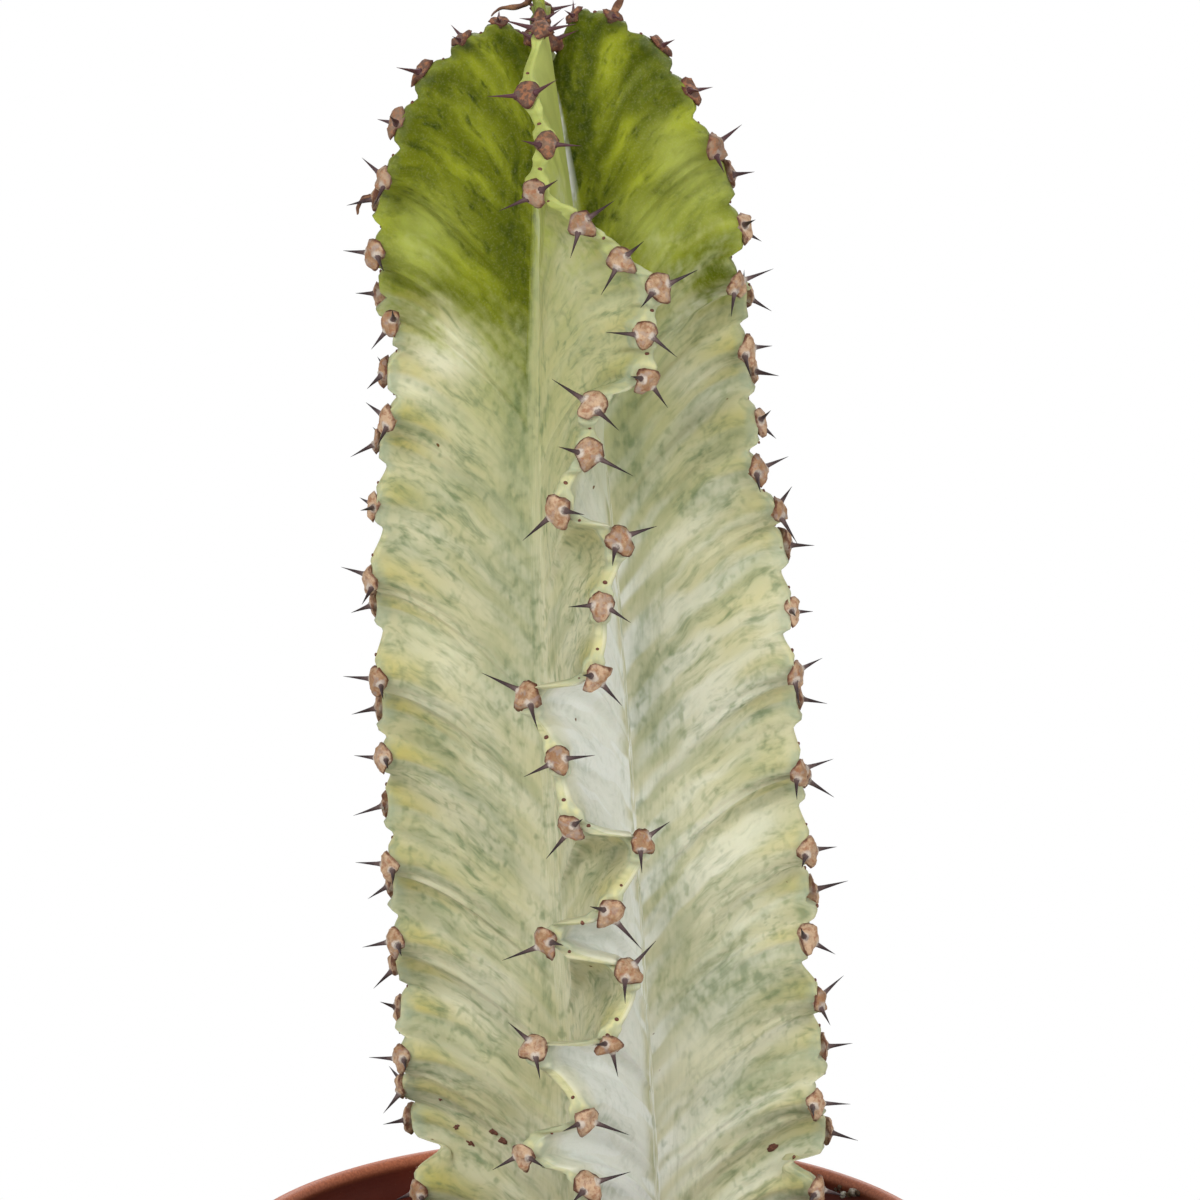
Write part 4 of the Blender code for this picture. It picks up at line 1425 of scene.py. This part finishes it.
def leaf_material(settings):
    """Shrivelled leaves: brown, paler along their veins."""
    leaf = Finish("spurge_dried_leaf", 0.75)
    place = leaf.place()
    clouds = leaf.noise(place, 2.5, 3, 0.6)
    veins = leaf.noise(place, (0.5, 0.5, 3), 3, 0.6)
    colour = leaf.mix(leaf.ramp(clouds, 0.42, 0.68), settings.leaf, settings.leaf_pale)
    colour = leaf.mix(leaf.times(leaf.ramp(veins, 0.5, 0.65), 0.5), colour, settings.rim)
    return leaf.finish(colour, leaf.ramp(clouds, 0.3, 0.7, 0.65, 0.85), leaf.bump(veins, 0.15 * MM, 0.7))


class SPURGE_OT_add_dried_leaves(bpy.types.Operator):
    """Hang the three shrivelled leaves on the stem"""

    bl_idname = "spurge.add_dried_leaves"
    bl_label = "Add dried leaves"

    def execute(self, context):
        material = leaf_material(context.scene.spurge_pads)
        for name in LEAVES:
            dress(curled_leaf(name), material, "dried_leaf", name)
        return {"FINISHED"}


# ---------------------------------------------------------------- the pot

def inner_radius(height):
    """Radius of the pot's inside at a height between its floor and its rim."""
    floor = FOOT_HEIGHT + POT_WALL
    share = (height - floor) / (POT_HEIGHT - floor)
    return BASE_RADIUS - POT_WALL + (RIM_RADIUS - LIP_WIDTH - BASE_RADIUS + POT_WALL) * share


def arc(middle, radii, start, end, steps):
    """Points on an ellipse's arc, from one angle in degrees to another."""
    angles = [math.radians(start + (end - start) * i / steps) for i in range(steps + 1)]
    return [(middle[0] + radii[0] * math.cos(a), middle[1] + radii[1] * math.sin(a)) for a in angles]


def pot_profile():
    """The pot's section: under its floor, round the foot, up the wall, over the lip and down inside."""
    floor = FOOT_HEIGHT + POT_WALL
    band_base = POT_HEIGHT - BAND_HEIGHT
    band_radius = inner_radius(band_base) + POT_WALL
    lip = arc((RIM_RADIUS - LIP_WIDTH / 2, POT_HEIGHT - 2.3 * MM), (LIP_WIDTH / 2, 2.3 * MM), -45, 195, 16)
    foot_inside = BASE_RADIUS - FOOT_WIDTH
    return [
        (4 * MM, FOOT_HEIGHT),
        (foot_inside - 2 * MM, FOOT_HEIGHT),
        *arc((foot_inside - 0.2 * MM, FOOT_HEIGHT - 0.8 * MM), (0.8 * MM, 0.8 * MM), 90, 0, 3),
        *arc((foot_inside + 1.1 * MM, 0.5 * MM), (0.5 * MM, 0.5 * MM), 180, 270, 3),
        *arc((BASE_RADIUS - 0.8 * MM, 0.8 * MM), (0.8 * MM, 0.8 * MM), 270, 360, 4),
        (inner_radius(floor) + POT_WALL + 0.5 * MM, floor + 6 * MM),
        (inner_radius(band_base / 2) + POT_WALL, band_base / 2),
        (band_radius, band_base - 0.3 * MM),
        *arc((band_radius + 0.5 * MM, band_base + 0.8 * MM), (1 * MM, 0.8 * MM), 270, 350, 4),
        (inner_radius(POT_HEIGHT - 9 * MM) + POT_WALL + 1.6 * MM, POT_HEIGHT - 9 * MM),
        *lip,
        (inner_radius(POT_HEIGHT - 6 * MM), POT_HEIGHT - 6 * MM),
        (inner_radius(band_base), band_base),
        (inner_radius(band_base / 2), band_base / 2),
        (inner_radius(floor + 5 * MM), floor + 5 * MM),
        *arc((inner_radius(floor) - 4 * MM, floor + 4 * MM), (4 * MM, 4 * MM), 350, 280, 4),
        (4 * MM, floor),
    ]


def turned(name, profile, segments):
    """A solid turned about Z from a section of (radius, height) points, closed at both ends."""
    radius, height = profile[0]
    item = primitive("circle", name, vertices=segments, radius=radius, location=(0, 0, height))
    bpy.ops.object.transform_apply(location=True)
    bpy.ops.object.mode_set(mode="EDIT")
    bpy.ops.mesh.select_mode(type="VERT")
    bpy.ops.mesh.select_all(action="SELECT")
    for (r0, z0), (r1, z1) in zip(profile, profile[1:]):
        bpy.ops.mesh.extrude_edges_move(TRANSFORM_OT_translate={"value": (0, 0, z1 - z0)})
        bpy.ops.transform.resize(value=(r1 / r0, r1 / r0, 1), center_override=(0, 0, z1))
    bpy.ops.mesh.select_all(action="SELECT")
    bpy.ops.mesh.fill_holes(sides=0)
    bpy.ops.mesh.select_all(action="SELECT")
    bpy.ops.mesh.normals_make_consistent(inside=False)
    bpy.ops.object.mode_set(mode="OBJECT")
    return item


def take_away(item, cutter):
    """Cut a cutter out of an object for good."""
    modifier = item.modifiers.new("cut", "BOOLEAN")
    modifier.object = cutter
    modifier.solver = "EXACT"
    apply_modifiers(item)
    in_order(item.data)
    bpy.data.objects.remove(cutter, do_unlink=True)


def drain_holes():
    """One cutter with a pin for each drain hole."""
    pins = []
    for i in range(DRAIN_HOLES):
        angle = 2 * math.pi * (i + 0.5) / DRAIN_HOLES
        place = (DRAIN_CIRCLE_RADIUS * math.cos(angle), DRAIN_CIRCLE_RADIUS * math.sin(angle), FOOT_HEIGHT)
        pin = primitive(
            "cylinder", f"drain_pin_{i}", vertices=24, radius=DRAIN_HOLE_RADIUS, depth=12 * MM, location=place
        )
        pins.append(pin)
    for pin in pins:
        pin.select_set(True)
    bpy.context.view_layer.objects.active = pins[0]
    bpy.ops.object.join()
    return pins[0]


def pot_material(settings):
    """Satin injection-moulded plastic with faint turning lines, dust, dried splashes, a painted highlight on
    the lip and painted shade inside.
    """
    plastic = Finish("spurge_pot_plastic", 0.42, Specular_IOR_Level=0.3)
    place = plastic.place()
    clouds = plastic.noise(place, (30, 30, 20), 4, 0.6)
    rings = plastic.noise(place, (400, 400, 0.9), 2, 0.5)
    grain = plastic.noise(place, 0.6, 3, 0.6)
    splashes = plastic.noise(place, (4.5, 4.5, 6), 4, 0.7)
    height = plastic.height_of(place)
    dust = plastic.times(plastic.ramp(splashes, 0.6, 0.78), plastic.ramp(height, 0, 130 * MM, 0.55, 0.3))
    # Painted highlight along the top of the lip
    by_lip = plastic.ramp(height, POT_HEIGHT - 3.2 * MM, POT_HEIGHT - 0.6 * MM)
    # Painted shade: the inner wall is darkened with the darker plastic
    inside = plastic.times(plastic.attribute("inside"), plastic.ramp(clouds, 0.3, 0.6, 0.75, 0.95))
    colour = plastic.coats(
        settings.plastic,
        (plastic.ramp(clouds, 0.35, 0.65, 0, 0.22), settings.plastic_dark_and_inner_shade),
        (inside, settings.plastic_dark_and_inner_shade),
        (dust, settings.dust),
        (plastic.times(by_lip, plastic.ramp(grain, 0.3, 0.7, 0.55, 0.95)), settings.lip),
        (plastic.times(plastic.ramp(grain, 0.66, 0.76), 0.25), settings.dust),
    )
    roughness = plastic.math("ADD", plastic.ramp(clouds, 0.3, 0.7, 0.36, 0.5), plastic.times(dust, 0.3))
    normal = plastic.bump(rings, 0.06 * MM, 0.5)
    normal = plastic.bump(grain, 0.05 * MM, 0.5, normal)
    return plastic.finish(colour, roughness, normal)


class SPURGE_OT_add_pot(bpy.types.Operator):
    """Turn the nursery pot and cut its drain holes"""

    bl_idname = "spurge.add_pot"
    bl_label = "Add pot"

    def execute(self, context):
        settings = context.scene.spurge_pot
        pot = turned("nursery_pot", pot_profile(), settings.segments)
        take_away(pot, drain_holes())
        # Mark the inner wall, which the material darkens as painted shade
        outward = [v.normal.x * v.co.x + v.normal.y * v.co.y for v in pot.data.vertices]
        add_attribute(pot.data, "inside", [1.0 if part < 0 else 0.0 for part in outward])
        pot.data.shade_smooth()
        pot.data.set_sharp_from_angle(angle=math.radians(50))
        dress(pot, pot_material(settings), "pot_plastic", "pot")
        return {"FINISHED"}


# ---------------------------------------------------------------- potting mix

SOIL_LEVEL = POT_HEIGHT - SOIL_DROP
SOIL_RINGS = 46
SOIL_SEGMENTS = 150
SOIL_MARGIN = 0.5 * MM

# Where the stem comes through the potting mix: its station, and half the thickness of its ribs there
STATION_AT_SOIL = 141
RIB_HALF_WIDTH = 2.5 * MM


def soil_height(x, y):
    """Height of the potting mix's lumpy top."""
    place = Vector((x, y, 0))
    bumps = noise.noise(place / (15 * MM)) * 0.9 + noise.noise(place / (5 * MM)) * 0.7
    return SOIL_LEVEL + (bumps + noise.noise(place / (1.9 * MM)) * 0.45) * MM


def soil_body():
    """The potting mix as one solid that fills the pot, lumpy on top."""
    floor = FOOT_HEIGHT + POT_WALL + CLEARANCE
    edge = inner_radius(SOIL_LEVEL) - SOIL_MARGIN
    corner = floor + 4 * MM
    profile = [
        (3 * MM, floor),
        (inner_radius(floor) - 4 * MM - SOIL_MARGIN, floor),
        (inner_radius(corner) - SOIL_MARGIN, corner),
    ]
    profile += [(edge * (1 - i / SOIL_RINGS), SOIL_LEVEL) for i in range(SOIL_RINGS)]
    soil = turned("potting_mix", profile, SOIL_SEGMENTS)
    for v in soil.data.vertices:
        if v.co.z > SOIL_LEVEL - 0.1 * MM:
            near_wall = smoothstep(edge, edge - 2 * MM, math.hypot(v.co.x, v.co.y))
            v.co.z += (soil_height(v.co.x, v.co.y) - SOIL_LEVEL) * near_wall
    return soil


def stem_foot():
    """The buried foot of the stem, to cut its socket into the potting mix."""
    settings = bpy.context.scene.spurge_stem
    foot = skin_mesh("stem_foot", settings, [*BURIED_STATIONS, *range(FIRST_FINE_STATION, 176, 4)])
    bm = bmesh.new()
    bm.from_mesh(foot.data)
    bmesh.ops.triangulate(bm, faces=bm.faces)
    bm.to_mesh(foot.data)
    bm.free()
    return foot


def in_stem(x, y, margin):
    """True where the stem's foot comes through the top of the potting mix."""
    valley, _ = valley_at(STATION_AT_SOIL)
    inner = valley * math.cos(HALF_RIB_ANGLE)
    from_middle = Vector((x - AXIS_X_AT_BASE - LEAN * SOIL_LEVEL, y, 0))
    if from_middle.length < valley + margin:
        return True
    for rib, azimuth in enumerate(RIB_AZIMUTHS):
        out = from_middle.dot(Vector((math.cos(azimuth), math.sin(azimuth), 0)))
        radius, _ = edge_at(rib, STATION_AT_SOIL)
        t = (out - inner) / (radius - inner)
        if 0 <= t and out < radius + margin:
            width = RIB_HALF_WIDTH + (inner - RIB_HALF_WIDTH) * max(0, 1 - t) ** 1.7
            shift = shift_at(rib, STATION_AT_SOIL) * min(t, 1) ** 1.6
            if abs(from_middle.dot(across_rib(rib)) - shift) < width + margin:
                return True
    return False


def scattered(rng, count, margin):
    """Places on the potting mix, clear of the stem and the pot's wall."""
    edge = inner_radius(SOIL_LEVEL) - 2.5 * MM
    places = []
    while len(places) < count:
        x, y = rng.uniform(-edge, edge), rng.uniform(-edge, edge)
        if math.hypot(x, y) < edge - margin and not in_stem(x, y, margin):
            places.append(Vector((x, y, soil_height(x, y))))
    return places


def place_by_lip(rng):
    """A place on the inside of the lip, in the one dirty patch behind the stem."""
    azimuth = math.radians(rng.triangular(38, 52, 43))
    radius = RIM_RADIUS - LIP_WIDTH - 0.1 * MM
    height = POT_HEIGHT - rng.uniform(2.2, 5.5) * MM
    return Vector((radius * math.cos(azimuth), radius * math.sin(azimuth), height))


def random_turn(rng):
    """A random rotation."""
    return Quaternion([rng.gauss(0, 1) for _ in range(4)]).normalized().to_matrix()


def lumps(name, rng, count, sizes, subdivisions, roughness, stuck):
    """Lumps scattered on the potting mix as one object, with some stuck inside the pot's lip."""
    smallest, largest = sizes
    shape = primitive("ico_sphere", name + "_shape", subdivisions=subdivisions, radius=0.5)
    placings = []
    for place in scattered(rng, count, 0.6 * MM) + [place_by_lip(rng) for _ in range(stuck)]:
        size = smallest + (largest - smallest) * rng.random() ** 2.5
        seed = random_vector(rng, 90)

        def change(co, seed=seed):
            return co * (1 + noise.noise(co * 2.4 + seed) * roughness)

        spans = (size * rng.uniform(0.8, 1.3), size, size * rng.uniform(0.6, 0.9))
        place.z += size * 0.18
        placings.append((placed(place, random_turn(rng), spans), change, {"tone": rng.random()}))
    return copies_of(shape, name, placings)


def fibres(name, rng, count):
    """Thin fibres and slivers lying on the potting mix as one object."""
    shape = primitive("cylinder", name + "_shape", vertices=6, radius=1, depth=2)
    cut_level((-0.5, 0, 0.5))
    placings = []
    for place in scattered(rng, count, 4 * MM):
        half = rng.uniform(1.5, 5) * MM
        radius = rng.uniform(0.16, 0.6) * MM
        bend = rng.uniform(-0.35, 0.35)

        def change(co, bend=bend, half=half, radius=radius):
            taper = 1 - 0.45 * abs(co.z)
            y = co.y * radius * taper * 1.6 + bend * half * co.z**2
            return Vector((co.x * radius * taper, y, co.z * half))

        heading = Matrix.Rotation(rng.uniform(0, 2 * math.pi), 3, "Z")
        lie = heading @ Matrix.Rotation(math.radians(90 + rng.uniform(-7, 7)), 3, "X")
        place.z += radius + 0.25 * MM
        placings.append((placed(place, lie, (1, 1, 1)), change, {"tone": rng.random()}))
    return copies_of(shape, name, placings)


def peat_material(settings):
    """Crumbly mix: dark and dry crumbs, with a rough surface."""
    peat = Finish("spurge_peat", 0.95)
    place = peat.place()
    clouds = peat.noise(place, 4.4, 4, 0.7)
    flecks = peat.noise(place, 1.1, 4, 0.7)
    colour = peat.mix(peat.ramp(clouds, 0.42, 0.68, 0, 0.6), settings.peat, settings.peat_pale)
    colour = peat.mix(peat.ramp(flecks, 0.55, 0.72, 0, 0.7), colour, settings.peat_pale)
    return peat.finish(colour, peat.ramp(clouds, 0.3, 0.7, 0.85, 1), peat.bump(flecks, 0.5 * MM, 0.9))


def toned_material(name, dark, light, roughness, fleck_size):
    """Loose pieces that differ in tone from one to the next, with flecks of a size in mm."""
    stuff = Finish(name, roughness)
    flecks = stuff.noise(stuff.place(), fleck_size, 3, 0.65)
    share = stuff.math("ADD", stuff.attribute("tone"), stuff.centred(flecks))
    colour = stuff.mix(stuff.ramp(share, 0.1, 0.9), dark, light)
    uneven = stuff.ramp(flecks, 0.3, 0.7, roughness - 0.1, min(1, roughness + 0.1))
    return stuff.finish(colour, uneven, stuff.bump(flecks, 0.3 * MM, 0.8))


class SPURGE_OT_add_potting_mix(bpy.types.Operator):
    """Fill the pot with potting mix, round the stem's foot"""

    bl_idname = "spurge.add_potting_mix"
    bl_label = "Add potting mix"

    def execute(self, context):
        settings = context.scene.spurge_soil
        soil = soil_body()
        take_away(soil, stem_foot())
        soil.data.shade_smooth()
        dress(soil, peat_material(settings), "potting_mix", "soil")
        return {"FINISHED"}


class SPURGE_OT_scatter_crumbs(bpy.types.Operator):
    """Scatter crumbs, white granules and fibres on the potting mix"""

    bl_idname = "spurge.scatter_crumbs"
    bl_label = "Scatter crumbs"

    def execute(self, context):
        settings = context.scene.spurge_soil
        rng = random.Random(CRUMBS_SEED)
        crumbs = lumps("soil_crumbs", rng, settings.crumbs, (0.9 * MM, 4.2 * MM), 1, 0.5, 22)
        look = toned_material("spurge_crumbs", settings.peat, settings.peat_pale, 0.9, 0.8)
        dress(crumbs, look, "potting_mix")
        granules = lumps("perlite_granules", rng, settings.granules, (1.2 * MM, 3.2 * MM), 2, 0.45, 2)
        look = toned_material("spurge_perlite", settings.peat_pale, settings.perlite, 0.85, 1.2)
        dress(granules, look, "potting_mix")
        look = toned_material("spurge_fibre", settings.peat, settings.fibre, 0.85, 0.9)
        dress(fibres("bark_fibres", rng, settings.fibres), look, "potting_mix")
        return {"FINISHED"}


# ---------------------------------------------------------------- stage

# Lamps: name, place, width and power
LAMPS = (
    ("key_lamp", (-0.8, -1.5, 1.6), 1.1, 30.0),
    ("fill_lamp", (1.3, -1.3, 1.0), 1.3, 13.0),
    ("back_lamp", (0.3, 1.6, 1.3), 1.2, 12.0),
)

# Where the lamps aim, the strength of the light from all round, the floor's width, and how far from its
# middle the floor starts and ends turning white
LIT_PLACE = Vector((0, 0, 0.26))
AMBIENT = 0.42
FLOOR_SIZE = 16
SHADOW_REACH = (0.22, 0.42)


def add_lamp(name, place, width, power):
    """A soft square lamp that faces the plant."""
    data = bpy.data.lights.new(name, "AREA")
    data.shape = "SQUARE"
    data.size = width
    data.energy = power
    lamp = new_object(name, data)
    lamp.location = place
    lamp.rotation_euler = (LIT_PLACE - Vector(place)).to_track_quat("-Z", "Y").to_euler()


def add_camera(settings):
    """The camera that the scene is rendered with."""
    data = bpy.data.cameras.new("camera")
    data.sensor_width = 36
    data.lens = settings.focal_length
    data.clip_start = 0.05
    data.clip_end = 50
    camera = new_object("camera", data)
    camera.location = settings.camera_place
    camera.rotation_euler = (math.radians(90) - settings.camera_pitch, 0, 0)
    bpy.context.scene.camera = camera


def floor_material(settings):
    """Pale floor that keeps the plant's shadow and turns plain white further out, as a studio sweep does."""
    floor = Finish("studio_floor", 0.9)
    place = floor.place()
    tint = floor.noise(place, 400, 2)
    floor.finish(floor.mix(floor.ramp(tint, 0.3, 0.7, 0, 0.15), settings.floor, (1, 1, 1)))
    distance = floor.node("ShaderNodeVectorMath", {0: place}, operation="LENGTH").outputs["Value"]
    seen = floor.node("ShaderNodeLightPath").outputs["Is Camera Ray"]
    share = floor.times(floor.ramp(distance, *SHADOW_REACH), seen)
    white = floor.node("ShaderNodeEmission", {"Color": (1, 1, 1, 1), "Strength": 1})
    both = floor.node("ShaderNodeMixShader", {0: share, 1: floor.shader.outputs[0], 2: white.outputs[0]})
    floor.tree.links.new(both.outputs[0], floor.tree.nodes["Material Output"].inputs["Surface"])
    return floor.material


def light_world():
    """Even ambient light, with a plain white background for the camera and for reflections."""
    world = bpy.data.worlds.new("studio")
    bpy.context.scene.world = world
    world.use_nodes = True
    world.node_tree.nodes.clear()
    sky = Nodes(world.node_tree)
    rays = sky.node("ShaderNodeLightPath").outputs
    seen = sky.math("MAXIMUM", rays["Is Camera Ray"], rays["Is Glossy Ray"])
    seen = sky.math("MAXIMUM", seen, rays["Is Transmission Ray"])
    ambient = sky.node("ShaderNodeBackground", {"Color": (1, 1, 1, 1), "Strength": AMBIENT}).outputs[0]
    white = sky.node("ShaderNodeBackground", {"Color": (1, 1, 1, 1), "Strength": 1}).outputs[0]
    both = sky.node("ShaderNodeMixShader", {0: seen, 1: ambient, 2: white}).outputs[0]
    sky.node("ShaderNodeOutputWorld", {"Surface": both})


class SPURGE_OT_set_stage(bpy.types.Operator):
    """Lay the floor and place the lamps and the camera"""

    bl_idname = "spurge.set_stage"
    bl_label = "Set stage"

    def execute(self, context):
        settings = context.scene.spurge_stage
        floor = primitive("plane", "floor", size=FLOOR_SIZE)
        floor.data.materials.append(floor_material(settings))
        for lamp in LAMPS:
            add_lamp(*lamp)
        light_world()
        add_camera(settings)
        context.scene.view_settings.view_transform = "Standard"
        return {"FINISHED"}


# ---------------------------------------------------------------- panel and registration

STEPS = (
    SPURGE_OT_add_pot,
    SPURGE_OT_add_potting_mix,
    SPURGE_OT_scatter_crumbs,
    SPURGE_OT_add_stem,
    SPURGE_OT_add_pads,
    SPURGE_OT_add_dried_leaves,
    SPURGE_OT_set_stage,
)


class SPURGE_PT_panel(bpy.types.Panel):
    """Buttons for the steps, and the sizes and colours that they use"""

    bl_idname = "SPURGE_PT_panel"
    bl_label = "Potted spurge"
    bl_space_type = "VIEW_3D"
    bl_region_type = "UI"
    bl_category = "Spurge"

    def draw(self, context):
        layout = self.layout
        for step in STEPS:
            layout.operator(step.bl_idname)
        for key, group in SETTINGS.items():
            box = layout.box()
            box.label(text=group.__doc__.rstrip("."))
            for name in group.__annotations__:
                box.prop(getattr(context.scene, key), name)


CLASSES = (*SETTINGS.values(), *STEPS, SPURGE_PT_panel)


def register():
    """Make the settings, the steps and the panel known."""
    for kind in CLASSES:
        bpy.utils.register_class(kind)
    for key, group in SETTINGS.items():
        setattr(bpy.types.Scene, key, bpy.props.PointerProperty(type=group))


def unregister():
    """Take them away again."""
    for key in SETTINGS:
        delattr(bpy.types.Scene, key)
    for kind in reversed(CLASSES):
        bpy.utils.unregister_class(kind)


def main():
    """Run every step in order."""
    register()
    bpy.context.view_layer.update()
    bpy.ops.spurge.add_pot()
    bpy.ops.spurge.add_potting_mix()
    bpy.ops.spurge.scatter_crumbs()
    bpy.ops.spurge.add_stem()
    bpy.ops.spurge.add_pads()
    bpy.ops.spurge.add_dried_leaves()
    bpy.ops.spurge.set_stage()


if __name__ == "__main__":
    main()
